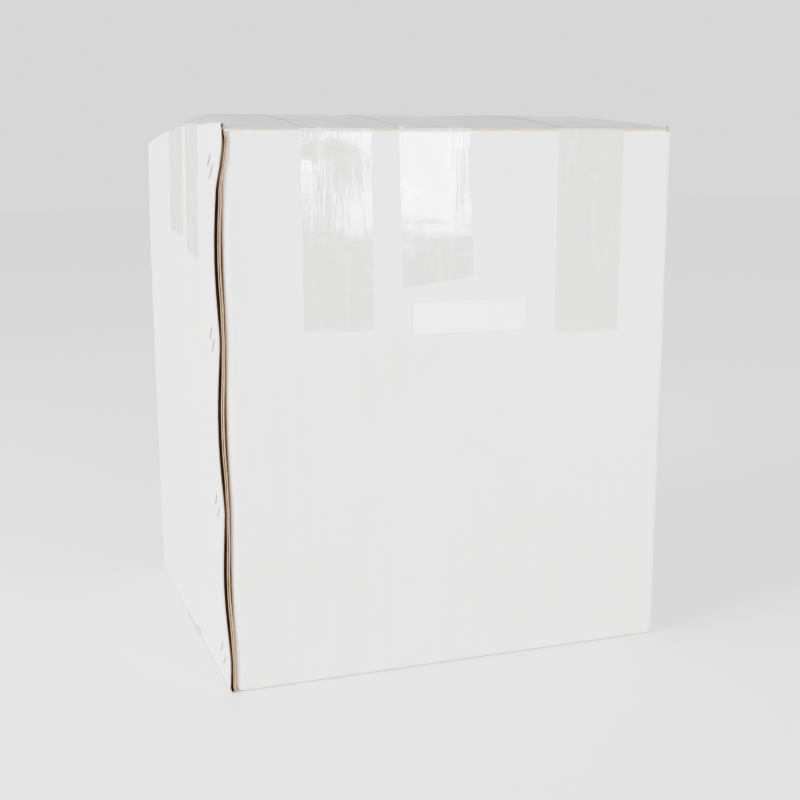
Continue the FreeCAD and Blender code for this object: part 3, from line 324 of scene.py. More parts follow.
@dataclass
class CartonShape:
    """The outer faces of the folded carton, as formulas that every piece on it shares.

    The walls' sizes come from the frame. The rest are the board's thickness, its folds and the small
    departures from a sharp box, in metres. Heights of swells, dents and the like are in millimetres.

    Args:
        half_width, half_depth, crease: the walls' outer faces, and the height where they fold.
        board, joint_gap: the board's thickness, and the gap between the left wall and the tab.
        corner, fold, lip: the radii of upright corners and long folds, and half the angle of the gap in
            a fold that the crease skins bridge.
        tab, tab_flat: how far the tab reaches behind the left wall, and how much flatter it is.
        crown, crown_drop, end_round: the closed flaps' rise at the seam, and how much less it is towards
            the right end.
        bottom, seam, roll: the walls' lowest edge, half the seam's width, the narrow walls' rolled top.
        ear, ear_reach, ear_start, ear_run: how far the back flap's left corner is drawn in, how far in
            from the crease, and where along it that starts and is complete.
        left_end, rim_round: how far in from the left end and from the crease the crushed rim shows.
        staple_levels: the heights of the pairs of staples.
        sink, lift: how far the left rim is pressed down and how far its fold stands up, each as places
            along Y over heights, in millimetres.
        front, back, right, left: the four walls' bulges.
        foot, foot_tuck: how high and how far the walls turn in at the bottom.
        settle, press: where below the creases the swell dies away and the rim's sinking starts.
        edge_swell, gape, gape_span, gape_reach: how the left wall's cut edge bows out between staples.
        crush, crush_levels, crush_reach, fine_crease: how it is crushed in at the top and creased.
        uneven, rim_dip, right_rim: the flaps' and left rim's ripple, the flaps' dip beside the left rim,
            and the right rim's height at its ends and how much more it has in the middle.
        arc_points: how many points the table of the path holds on each upright corner.
    """

    half_width: float = field(default_factory=lambda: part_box("carton_sleeve")[1][0])
    half_depth: float = field(default_factory=lambda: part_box("carton_sleeve")[1][1])
    crease: float = field(default_factory=lambda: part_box("carton_sleeve")[1][2])
    board: float = 4.5 * MM
    joint_gap: float = 0.15 * MM
    corner: float = 5.5 * MM
    fold: float = 3.0 * MM
    lip: float = math.radians(5.0)
    tab: float = 38.0 * MM
    crown: float = 9.6 * MM
    crown_drop: float = 4.2 * MM
    bottom: float = 0.4 * MM
    seam: float = 1.0 * MM
    roll: float = 10.6 * MM
    ear: float = 11 * MM
    ear_reach: float = 18 * MM
    ear_start: float = 120 * MM
    ear_run: float = 39.4 * MM
    left_end: float = 13 * MM
    staple_levels: tuple[float, ...] = (22.0 * MM, 127.0 * MM, 240.0 * MM, 351.0 * MM)
    sink: tuple[tuple[float, ...], ...] = ((0, 20, 45, 92, 136), (0, 1.4, 1.8, 6.3, 11.5))
    lift: tuple[tuple[float, ...], ...] = ((-136, -40, 10), (3.0, 2.7, 0.2))
    front: Bulge = Bulge(0.9, 0.35, 3, 70, (Dent(-0.9, -94, 352, 30, 16), Dent(-0.7, 45, 345, 50, 20)))
    back: Bulge = Bulge(1.6, 0.5, 5, 60)
    right: Bulge = Bulge(1.8, 0.5, 7, 60)
    left: Bulge = Bulge(1.9, 0.45, 9, 70, (Dent(-2.6, -21, 4, 12, 14), Dent(0.8, -34, 18, 8, 14)))
    foot: float = 5 * MM
    foot_tuck: float = 1.3
    tab_flat: float = 0.62
    settle: tuple[float, float] = (3 * MM, 22 * MM)
    press: float = 45 * MM
    end_round: float = 9 * MM
    rim_round: float = 12 * MM
    edge_swell: float = 0.9
    fine_crease: float = 0.28
    uneven: float = 0.5 * MM
    rim_dip: float = 0.9 * MM
    right_rim: tuple[float, float] = (0.8 * MM, 5.3 * MM)
    crush_levels: tuple[float, float] = (334 * MM, 371 * MM)
    gape: float = 2.3
    gape_span: float = 54 * MM
    gape_reach: float = 45 * MM
    crush: float = 4.4
    crush_reach: float = 16 * MM
    arc_points: int = 40

    def __post_init__(self) -> None:
        """Lays the path round the walls, from the left wall's cut edge to the end of the tab.

        Between straight runs lie quarter circles. The table holds the ends and the circles' points with
        their outward direction, so that a place on the path is read off by its distance.
        """
        w, d, r = self.half_width, self.half_depth, self.corner
        left = -w + self.board + self.joint_gap
        corners = ((-w + r, d - r, 180), (w - r, d - r, 90), (w - r, -d + r, 0), (left + r, -d + r, 270))
        rows = [np.array([[-w], [-d], [-1.0], [0.0]])]
        for x, y, start in corners:
            angles = np.radians(np.linspace(start, start - 90, self.arc_points))
            rows.append(np.array([x + r * np.cos(angles), y + r * np.sin(angles), np.cos(angles),
                                  np.sin(angles)]))
        rows.append(np.array([[left], [-d + self.tab], [-1.0], [0.0]]))
        self.table = np.concatenate(rows, axis=1)
        steps = np.hypot(np.diff(self.table[0]), np.diff(self.table[1]))
        self.run = np.concatenate([[0.0], np.cumsum(steps)])
        self.arcs = [(self.run[1 + self.arc_points * number], self.run[self.arc_points * (number + 1)])
                     for number in range(len(corners))]

    def path_stations(self, step: float, turns: int = 8) -> Array:
        """Distances along the path: a few on each quarter circle and even steps between them.

        Args:
            step: the widest step on the straight runs.
            turns: how many steps each quarter circle has.

        Returns:
            The distances, in order.
        """
        marks = [0.0]
        for start, stop in self.arcs:
            marks += list(spread(marks[-1], start, step)[1:])
            marks += list(start + (stop - start) * np.linspace(0, 1, turns + 1)[1:])
        marks += list(spread(marks[-1], self.run[-1], step)[1:])
        return np.array(marks)

    def from_staple(self, z: Array) -> Array:
        """How far each height is from the nearest staples."""
        return np.min(np.abs(z[..., None] - np.array(self.staple_levels)), axis=-1)

    def front_marks(self, x: Array, z: Array) -> Array:
        """A thin leaning ridge down from the fold and a shallow score near the right corner, in mm.

        Args:
            x, z: the place on the wall.

        Returns:
            How far the wall stands out there.
        """
        ridge = bell(x - 53.3 * MM + (z - 367 * MM) * 0.0305, 0.0, 1.1 * MM)
        score = bell(x - 152.2 * MM, (200 * MM - z) * 0.007, 1.6 * MM)
        return 0.32 * ridge * smoothstep(170 * MM, 200 * MM, z) - 0.55 * score

    def free_edge(self, y: Array, z: Array, arch: Array) -> Array:
        """What the left wall does near its cut edge, in mm.

        It bows out between the staples by the sine of the distance to the nearest one, is crushed in at
        the top and finely creased above the middle.

        Args:
            y, z: the place on the wall.
            arch: the share of the full swell at that height.

        Returns:
            How far the wall stands out there.
        """
        free = y + self.half_depth
        gape = self.gape * np.sin(np.clip(self.from_staple(z) / self.gape_span, 0, 1) * math.pi / 2) ** 1.4
        crushed = smoothstep(*self.crush_levels, z) * np.exp(-free / self.crush_reach)
        creased = ripple(y, z * 0.06, 13, 12 * MM) * smoothstep(160 * MM, 350 * MM, z)
        bowed = (gape + self.edge_swell * arch) * np.exp(-free / self.gape_reach)
        return bowed - self.crush * crushed + self.fine_crease * creased

    def swell(self, x: Array, y: Array, z: Array, nx: Array, ny: Array, tab: Array) -> Array:
        """How far a wall stands out from its flat place.

        Each wall swells by a sine over its height and a parabola over its width, has its ripple and
        dents, and turns in a little at the very bottom.

        Args:
            x, y, z: the flat place.
            nx, ny: the outward direction.
            tab: 1 on the tab inside the left wall, else 0.

        Returns:
            The distance outwards, in metres.
        """
        arch = np.sin(math.pi * np.clip(z / self.crease, 0, 1))
        over_width = arch * (1 - (x / self.half_width) ** 2)
        over_depth = arch * (1 - (y / self.half_depth) ** 2)
        settled = smoothstep(self.crease - self.settle[0], self.crease - self.settle[1], z)
        front = (self.front.out(x, z, over_width) + self.front_marks(x, z)) * settled
        back = self.back.out(x, z, over_width) * settled
        right = self.right.out(y, z, over_depth)
        left = self.left.out(y, z, (arch + over_depth) / 2) + self.free_edge(y, z, arch)
        total = (front * np.clip(-ny, 0, 1) + back * np.clip(ny, 0, 1) + right * np.clip(nx, 0, 1)
                 + left * np.clip(-nx, 0, 1) * (1 - self.tab_flat * tab))
        return (total - self.foot_tuck * (1 - smoothstep(0.0, self.foot, z)) ** 2) * MM

    def wall(self, s: Array, z: Array, w: Array | float = 0.0) -> Array:
        """A point on or behind the walls.

        Args:
            s: distance along the path round the walls.
            z: height.
            w: distance outwards from the face, negative inside the board.

        Returns:
            An array of points.
        """
        x, y, nx, ny = (np.interp(s, self.run, column) for column in self.table)
        length = np.hypot(nx, ny)
        nx, ny = nx / length, ny / length
        tab = smoothstep(self.run[-1] - self.tab, self.run[-1] - self.tab + self.corner * 1.2, s)
        out = self.swell(x, y, z, nx, ny, tab) + w
        pressed = smoothstep(self.crease - self.press, self.crease - self.fold, z) * ny ** 2
        return points(x + nx * out, y + ny * out, z - pressed * self.left_sink(x, y))

    def front_run(self, x: Array, side: Side) -> Array:
        """The distance along the path of a place on the front or back wall, by its X."""
        start = self.arcs[2 if side is Side.FRONT else 0][1]
        return start + (self.half_width - self.corner) + side.value * x

    def side_run(self, y: Array, right: bool) -> Array:
        """The distance along the path of a place on the right or left wall, by its Y."""
        return self.arcs[1][1] + (self.half_depth - self.corner) - y if right else y + self.half_depth

    def fold_arc(self, side: Side, x: Array, angle: Array, w: Array | float) -> Array:
        """A point on the rounded crease: a circle about the line just inside it.

        Args:
            side: which long side.
            x: place along the crease.
            angle: 0 where the wall ends, a quarter turn where the flap lies flat.
            w: distance outwards.

        Returns:
            An array of points.
        """
        radius = self.fold + w
        y = side.value * (self.half_depth - self.fold + radius * np.cos(angle))
        return points(x, y, self.crease - self.fold + radius * np.sin(angle) - self.left_sink(x, y))

    def rise(self, x: Array, reach: Array) -> Array:
        """The height of the closed flap over the crease: a quarter sine to the seam, less at the ends.

        Args:
            x: place along the flap.
            reach: distance in from the fold.

        Returns:
            The height, in metres.
        """
        share = np.clip(reach / (self.half_depth - self.seam), 0, 1)
        right = np.exp(-np.clip(self.half_width - x, 0, None) / self.end_round)
        dome = (self.crown - self.crown_drop * right) * np.sin(share * math.pi / 2) ** 0.85
        return dome + self.uneven * ripple(x, reach, 17, 50 * MM) * smoothstep(0.0, 0.2, share)

    def flap(self, side: Side, x: Array, reach: Array, w: Array | float) -> Array:
        """A point on the closed top flap, by its distance in from the crease.

        Args:
            side: which long side.
            x: place along the flap.
            reach: distance in from the crease.
            w: distance upwards from the flap's face.

        Returns:
            An array of points.
        """
        y = side.value * (self.half_depth - reach)
        left = self.left_reach(x)
        rim = self.rim_lift(y) * smoothstep(0.0, self.rim_round, reach) - self.rim_dip
        rise = self.rise(x, reach - self.fold) * (1 - left) + rim * left - self.left_sink(x, y)
        rise = np.where(reach < self.fold + 0.1 * MM, -self.left_sink(x, y), rise)
        return points(x, y, self.crease + rise + w)

    def left_reach(self, x: Array) -> Array:
        """1 at the left end, falling away inwards: e to the minus (distance / left_end)^2.5."""
        return np.exp(-(np.clip(x + self.half_width, 0, None) / self.left_end) ** 2.5)

    def left_sink(self, x: Array, y: Array) -> Array:
        """How far the crushed left rim draws a place down."""
        return self.left_reach(x) * self.rim_sink(y)

    def dog_ear(self, side: Side, x: Array, reach: Array) -> Array:
        """How far the back flap's crushed corner is drawn in along the crease, as a bell over the reach."""
        share = np.clip((-x - self.ear_start) / self.ear_run, 0, 1)
        return (side is Side.BACK) * self.ear * bell(reach, 0.0, self.ear_reach) * share

    def rim_sink(self, y: Array) -> Array:
        """How far the left rim has been pressed down, most at the back corner."""
        return np.interp(y, *(np.array(row) * MM for row in self.sink))

    def rim_lift(self, y: Array) -> Array:
        """How far the left wall's fold stands over its crease, most at the front corner."""
        return np.interp(y, *(np.array(row) * MM for row in self.lift))

    def rim_top(self, y: Array, right: bool) -> Array:
        """The height of a narrow wall's fold: a cosine on the right, the pressed rim on the left.

        Args:
            y: place along the wall.
            right: true for the right wall, else the left one.

        Returns:
            The height, in metres.
        """
        if right:
            rest, rise = self.right_rim
            return self.crease + rest + rise * np.cos(np.clip(y / self.half_depth, -1, 1) * 1.5)
        ripples = self.uneven * ripple(y, y * 0.3, 23, 30 * MM)
        return self.crease + self.rim_lift(y) - self.rim_sink(y) + ripples

    def rubbed(self, place: Array) -> Array:
        """How rubbed the liner is: most along the bottom, the creases and the upright corners.

        Args:
            place: points on the walls.

        Returns:
            The wear, 0 to 1.
        """
        x, y, z = np.moveaxis(place, -1, 0)
        low = 1 - smoothstep(0.0, 9 * MM, z)
        high = smoothstep(self.crease - 9 * MM, self.crease - 0.5 * MM, z)
        corner = np.minimum(np.abs(x) - self.half_width, np.abs(y) - self.half_depth) + 3 * MM
        return np.clip(0.75 * low + 0.8 * high + 0.5 * smoothstep(-2 * MM, 3 * MM, corner), 0, 1)


# Shader groups and finishes


@dataclass(frozen=True)
class Signal:
    """An output of a node, on which arithmetic adds Math nodes."""

    wiring: "Wiring"
    socket: bpy.types.NodeSocket

    def step(self, operation: str, other: "Signal | float" = 0.0) -> "Signal":
        """One Math node, with this value first.

        Args:
            operation: the Math node's operation.
            other: the second value, where it takes one.

        Returns:
            The result.
        """
        node = self.wiring.add("Math", {"operation": operation})
        self.wiring.feed(node.inputs[0], self)
        self.wiring.feed(node.inputs[1], other)
        return Signal(self.wiring, node.outputs[0])

    def __add__(self, other: "Signal | float") -> "Signal":
        """The sum."""
        return self.step("ADD", other)

    def __sub__(self, other: "Signal | float") -> "Signal":
        """The difference."""
        return self.step("SUBTRACT", other)

    def __mul__(self, other: "Signal | float") -> "Signal":
        """The product."""
        return self.step("MULTIPLY", other)


class Wiring:
    """Adds nodes to a tree from left to right and links them by name."""

    column_step = 190

    def __init__(self, tree: Tree) -> None:
        """Starts with an empty tree."""
        self.tree = tree
        tree.nodes.clear()

    def add(self, kind: str, settings: dict | None = None, **inputs: object) -> bpy.types.Node:
        """A node with its properties and inputs set.

        Args:
            kind: the node's class name, without ShaderNode.
            settings: properties of the node.
            inputs: values or signals by the input's name, with underscores for spaces.

        Returns:
            The node.
        """
        node = self.tree.nodes.new("ShaderNode" + kind)
        node.location = (len(self.tree.nodes) * self.column_step, 0)
        for word, value in (settings or {}).items():
            setattr(node, word, value)
        for word, value in inputs.items():
            self.feed(node.inputs[word.replace("_", " ")], value)
        return node

    def feed(self, socket: bpy.types.NodeSocket, value: object) -> None:
        """Links a signal to a socket, or sets the socket's value.

        Args:
            socket: the input.
            value: a signal, or a value of the input's type.
        """
        if isinstance(value, Signal):
            self.tree.links.new(value.socket, socket)
        else:
            socket.default_value = value

    def take(self, kind: str, output: str, settings: dict | None = None, **inputs: object) -> Signal:
        """The named output of a new node."""
        return Signal(self, self.add(kind, settings, **inputs).outputs[output])

    def group(self, tree: Tree, **inputs: object) -> dict[str, Signal]:
        """The outputs of a shader group, by name."""
        node = self.add("Group", {"node_tree": tree}, **inputs)
        return {socket.name: Signal(self, socket) for socket in node.outputs}

    def place(self) -> Signal:
        """The place in the piece's own frame."""
        return self.take("TexCoord", "Object")

    def attribute(self, name: str) -> Signal:
        """A number that the mesh holds at each point."""
        return self.take("Attribute", "Fac", {"attribute_name": name})

    def stretched(self, place: Signal, scale: Place) -> Signal:
        """A place with its axes scaled, to draw a pattern out along one of them."""
        return self.take("Mapping", "Vector", Vector=place, Scale=scale)

    def noise(self, place: Signal, scale: Signal | float, detail: float = 3.0, roughness: float = 0.55
              ) -> Signal:
        """Fractal noise at a place, about one half on average."""
        return self.take("TexNoise", "Fac", Vector=place, Scale=scale, Detail=detail, Roughness=roughness)

    def ramp(self, source: Signal, low: float, high: float) -> Signal:
        """A mask that rises smoothly from 0 at low to 1 at high."""
        return self.take("MapRange", "Result", {"interpolation_type": "SMOOTHSTEP"}, Value=source,
                         From_Min=low, From_Max=high)

    def mix(self, factor: Signal, first: Signal | Colour, second: Signal | Colour) -> Signal:
        """Two colours mixed by a factor."""
        return self.take("Mix", "Result", {"data_type": "RGBA"}, Factor=factor, A=first, B=second)

    def bumped(self, height: Signal, strength: float, distance: float) -> Signal:
        """A normal from a height."""
        return self.take("Bump", "Normal", Height=height, Strength=strength, Distance=distance)

    def close(self, **inputs: object) -> None:
        """The Principled BSDF and output of a material, by the shader's inputs."""
        self.add("OutputMaterial", None, Surface=self.take("BsdfPrincipled", "BSDF", None, **inputs))


class Group(Wiring):
    """A shader group: its inputs by name and default, with none for a place, and its outputs."""

    def __init__(self, name: str, inputs: dict[str, object], outputs: tuple[str, ...]) -> None:
        """Makes the group's tree and sockets.

        Args:
            name: the group's name.
            inputs: defaults by name, after an input for the place.
            outputs: the outputs' names.
        """
        tree = bpy.data.node_groups.new(name, "ShaderNodeTree")
        super().__init__(tree)
        for word, value in {"Place": None, **inputs}.items():
            kind = "Vector" if value is None else "Color" if isinstance(value, tuple) else "Float"
            socket = tree.interface.new_socket(name=word, in_out="INPUT", socket_type="NodeSocket" + kind)
            if value is not None:
                socket.default_value = value
        for word in outputs:
            kind = "Color" if word == "Colour" else "Float"
            tree.interface.new_socket(name=word, in_out="OUTPUT", socket_type="NodeSocket" + kind)
        start, self.end = (tree.nodes.new("NodeGroup" + word) for word in ("Input", "Output"))
        self.given = {socket.name: Signal(self, socket) for socket in start.outputs if socket.name}

    def done(self, **outputs: Signal) -> Tree:
        """Feeds the group's outputs and gives its tree.

        Args:
            outputs: the signal of each output, by name.

        Returns:
            The tree.
        """
        for word, signal in outputs.items():
            self.feed(self.end.inputs[word], signal)
        return self.tree


@cache
def paper_grain() -> Tree:
    """Paper's fibres and stains: a colour pulled light and dark, and a height for the grain.

    Returns:
        The group's tree.
    """
    w = Group("paper_grain", {"Colour": (0.8, 0.8, 0.8, 1), "Stain": (0.6, 0.55, 0.5, 1),
                              "Stain Amount": 0.2, "Grain Scale": 900.0}, ("Colour", "Height"))
    place = w.given["Place"]
    clouds = w.ramp(w.noise(place, 9.0, 4.0, 0.6), 0.42, 0.78)
    specks = w.ramp(w.noise(place, 260.0, 2.0), 0.66, 0.74)
    amount = (clouds + specks * 0.5) * w.given["Stain Amount"]
    return w.done(Colour=w.mix(amount, w.given["Colour"], w.given["Stain"]),
                  Height=w.noise(place, w.given["Grain Scale"], 2.0, 0.5))


@cache
def ragged_wear() -> Tree:
    """Edge wear: the piece's wear attribute broken up by noise into a ragged mask.

    Returns:
        The group's tree.
    """
    w = Group("ragged_wear", {"Wear": 0.0, "Reach": 1.0}, ("Mask",))
    place = w.given["Place"]
    torn = w.noise(place, 55.0, 5.0, 0.7) * 0.75 + w.noise(place, 420.0, 3.0, 0.6) * 0.35
    return w.done(Mask=w.ramp(torn + w.given["Wear"] * w.given["Reach"], 1.12, 1.34))


@cache
def moulded_skin() -> Tree:
    """The fine skin of moulded or cast parts: a slow mottle, a fine height and a roughness near 0.4.

    Returns:
        The group's tree.
    """
    w = Group("moulded_skin", {"Colour": (0.5, 0.5, 0.5, 1), "Grime": (0.2, 0.2, 0.2, 1), "Scale": 300.0},
              ("Colour", "Height", "Roughness"))
    place = w.given["Place"]
    slow = w.ramp(w.noise(place, 22.0, 4.0, 0.6), 0.4, 0.8)
    return w.done(Colour=w.mix(slow * 0.35, w.given["Colour"], w.given["Grime"]),
                  Height=w.noise(place, w.given["Scale"], 3.0, 0.5), Roughness=slow * 0.12 + 0.34)


@dataclass(frozen=True)
class Finish:
    """A procedural material; each kind wires its own surface."""

    name: str

    def build(self) -> Material:
        """The material.
        """
        material = bpy.data.materials.new(self.name)
        material.use_nodes = True
        self.wire(Wiring(material.node_tree))
        return material

    def wire(self, w: Wiring) -> None:
        """Adds the nodes of the surface."""
        raise NotImplementedError


@dataclass(frozen=True)
class LinerFinish(Finish):
    """White-faced board: faint washboard over the flutes, paper grain, stains and rubbed edges."""

    name: str = "white_liner"
    colour: Colour = (0.81, 0.8, 0.785, 1)
    stain: Colour = (0.66, 0.62, 0.56, 1)
    bare: Colour = (0.43, 0.28, 0.15, 1)
    flute_pitch: float = 6.6 * MM

    def wire(self, w: Wiring) -> None:
        """Flutes, streaks down the wall and paper grain, with bare kraft where the edge is worn.

        Args:
            w: the material's wiring.
        """
        place = w.place()
        paper = w.group(paper_grain(), Place=place, Colour=self.colour, Stain=self.stain,
                        Stain_Amount=0.16, Grain_Scale=1500.0)
        flutes = (w.attribute("across") * (2 * math.pi / self.flute_pitch)).step("SINE")
        streaks = w.noise(w.stretched(place, (1.0, 1.0, 0.05)), 85.0)
        worn = w.group(ragged_wear(), Place=place, Wear=w.attribute("wear"), Reach=0.78)["Mask"]
        tone = w.mix(w.ramp(streaks, 0.45, 0.8) * 0.14, paper["Colour"], self.stain)
        height = flutes * 0.28 + streaks * 1.6 + paper["Height"] * 0.35 - worn * 1.8
        w.close(Base_Color=w.mix(worn * 0.8, tone, self.bare), Roughness=worn * 0.3 + 0.52,
                Specular_IOR_Level=0.36, Normal=w.bumped(height, 0.5, 0.12 * MM))


@dataclass(frozen=True)
class KraftFinish(Finish):
    """Bare kraft paper, for the board's inside and its cut edges, and, drawn near black, for the painted
    shade inside its channels.
    """

    colour: Colour
    stain: Colour
    roughness: float = 0.85

    def wire(self, w: Wiring) -> None:
        """Stained paper with fibres drawn out along the height.

        Args:
            w: the material's wiring.
        """
        place = w.place()
        paper = w.group(paper_grain(), Place=place, Colour=self.colour, Stain=self.stain,
                        Stain_Amount=0.7, Grain_Scale=700.0)
        fibres = w.noise(w.stretched(place, (1.0, 1.0, 0.25)), 1300.0, 2.0)
        tone = w.mix(w.ramp(fibres, 0.4, 0.8) * 0.45, paper["Colour"], self.stain)
        w.close(Base_Color=tone, Roughness=self.roughness, Specular_IOR_Level=0.2,
                Normal=w.bumped(paper["Height"] + fibres, 0.7, 0.15 * MM))


@dataclass(frozen=True)
class TapeFinish(Finish):
    """Clear packing tape: glossy film whose wrinkles and trapped air show as pale streaks."""

    name: str = "clear_tape"
    film: Colour = (0.72, 0.725, 0.7, 1)
    air: Colour = (0.97, 0.97, 0.96, 1)
    cover: float = 0.72

    def wire(self, w: Wiring) -> None:
        """Two sets of wrinkles, as strong as the wear attribute says.

        Args:
            w: the material's wiring.
        """
        place, wear = w.place(), w.attribute("wear")
        along = w.noise(w.stretched(place, (1.0, 1.0, 0.16)), 95.0, 4.0, 0.6)
        cross = w.noise(w.stretched(place, (0.35, 0.35, 1.0)), 120.0, 3.0, 0.6)
        wrinkle = (w.ramp(along, 0.52, 0.66) + w.ramp(cross, 0.6, 0.68)) * wear
        w.close(Base_Color=w.mix(wrinkle.step("MINIMUM", 1.0), self.film, self.air), Roughness=0.08,
                IOR=1.47, Alpha=(wrinkle * 0.25 + self.cover).step("MINIMUM", 0.96),
                Normal=w.bumped((along + cross * 0.6) * wear, 0.6, 0.6 * MM))


@dataclass(frozen=True)
class SkinFinish(Finish):
    """Moulded plastic, cast alloy, plated or ground metal, rubber, paper and the like.

    Args:
        name: the material's name.
        colour: its main colour.
        grime: the colour of its slow mottle.
        roughness: its mean roughness.
        metallic: 1 for metal.
        scale: the grain's scale, in cells per metre.
        relief: the grain's height, in metres.
        brushed: how much the grain is drawn out along X.
    """

    colour: Colour
    grime: Colour
    roughness: float = 0.45
    metallic: float = 0.0
    scale: float = 900.0
    relief: float = 0.05 * MM
    brushed: float = 1.0

    def wire(self, w: Wiring) -> None:
        """The moulded skin, with its roughness moved from the group's 0.4 to this one's.

        Args:
            w: the material's wiring.
        """
        place = w.stretched(w.place(), (1.0 / self.brushed, 1.0, 1.0))
        skin = w.group(moulded_skin(), Place=place, Colour=self.colour, Grime=self.grime, Scale=self.scale)
        w.close(Base_Color=skin["Colour"], Roughness=skin["Roughness"] + (self.roughness - 0.4),
                Metallic=self.metallic, Normal=w.bumped(skin["Height"], 0.6, self.relief))


@dataclass(frozen=True)
class FoamFinish(Finish):
    """Moulded bead foam: pressed cells with darker seams between them."""

    name: str = "bead_foam"
    colour: Colour = (0.86, 0.87, 0.87, 1)
    seam: Colour = (0.62, 0.63, 0.64, 1)
    beads: float = 260.0

    def wire(self, w: Wiring) -> None:
        """Cells of slightly different greys, parted by their sunken seams.

        Args:
            w: the material's wiring.
        """
        cells = {"Vector": w.place(), "Scale": self.beads}
        edge = w.take("TexVoronoi", "Distance", {"feature": "DISTANCE_TO_EDGE"}, **cells)
        gap = w.ramp(edge, 0.0, 0.16)
        grey = w.take("RGBToBW", "Val", Color=w.take("TexVoronoi", "Color", **cells)) * 0.12
        w.close(Base_Color=w.mix(gap, self.seam, w.mix(grey, self.colour, self.seam)), Roughness=0.7,
                Normal=w.bumped(gap, 0.8, 0.5 * MM))


@dataclass(frozen=True)
class CircuitFinish(Finish):
    """A printed circuit: green lacquer over a net of copper tracks, with small pale pads."""

    name: str = "circuit_laminate"
    lacquer: Colour = (0.02, 0.16, 0.07, 1)
    track: Colour = (0.05, 0.3, 0.13, 1)
    pad: Colour = (0.72, 0.7, 0.62, 1)

    def wire(self, w: Wiring) -> None:
        """The net of tracks under the round pads.

        Args:
            w: the material's wiring.
        """
        place = w.place()
        net = w.take("TexBrick", "Color", Vector=place, Scale=160.0, Mortar_Size=0.06,
                     Color1=self.lacquer, Color2=self.lacquer, Mortar=self.track)
        dots = w.take("TexVoronoi", "Distance", Vector=place, Scale=210.0, Randomness=0.6)
        pads = w.ramp(dots, 0.1, 0.14) * -1.0 + 1.0
        w.close(Base_Color=w.mix(pads, net, self.pad), Roughness=0.3, Metallic=pads * 0.8,
                Normal=w.bumped(pads, 0.4, 0.1 * MM))


# Pieces of the carton


def comb_layers(wide: tuple[float, float] = (0.5 / 4.5, 2.7 / 4.5),
                narrow: tuple[float, float] = (3.1 / 4.5, 3.8 / 4.5)) -> list[tuple[float, int, Coat]]:
    """The layers of a cut edge, from the outer face inwards.

    A cut along the flutes shows the outer liner, a wide channel, the middle liner, a narrow channel and
    the inner liner.

    Args:
        wide: where the wide channel starts and ends, as shares of the board's thickness.
        narrow: where the narrow channel does.

    Returns:
        For each row of points its depth as a share of the board, 1 at a channel's floor or 0 at a
        liner's end, and the coat of the strip that ends at it.
    """
    rows = [(0.0, 0, Coat.EDGE)]
    for top, floor in (wide, narrow):
        rows += [(top, 0, Coat.EDGE), (top, 1, Coat.CHANNEL), (floor, 1, Coat.CHANNEL),
                 (floor, 0, Coat.CHANNEL)]
    return rows + [(1.0, 0, Coat.EDGE)]


def comb_patches(rows: list[Array], coats: list[Coat]) -> list[Patch]:
    """Strips between following rows of points, with the coats that the strips have in that order."""
    return [Patch(np.stack([near, far]), coat) for near, far, coat in zip(rows, rows[1:], coats)]


def over_crease(name: str, shape: CartonShape, side: Side, x: Array, lift: float, thick: float,
                wear: float, materials: list[Material], sharp: float) -> Object:
    """A strip over a long crease, from the wall's lip to the flap's.

    Args:
        name: the piece's name.
        shape: the carton's shape.
        side: which crease.
        x: places along it.
        lift: how far the strip lies over the board.
        thick: the strip's thickness.
        wear: how rubbed it is.
        materials: its materials.
        sharp: the angle of crisp edges, in degrees.

    Returns:
        The piece.
    """
    near, far = (shape.fold_arc(side, x, EIGHTH + turn, lift) for turn in (-shape.lip, shape.lip))
    outer = np.stack([near, far])
    inward = np.array([0.0, -side.value, -1.0]) * thick / math.sqrt(2)
    patches = shell(outer, outer + inward, np.stack([x, x]), np.full(outer.shape[:2], wear))
    piece = build_mesh(name, patches, materials, sharp)
    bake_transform(piece)
    return piece


@dataclass
class BoardWork:
    """A sub-assembly of the carton's board.

    Args:
        shape: the carton's shape.
        coats: the board's four materials, in the order of Coat.
    """

    shape: CartonShape
    coats: list[Material]


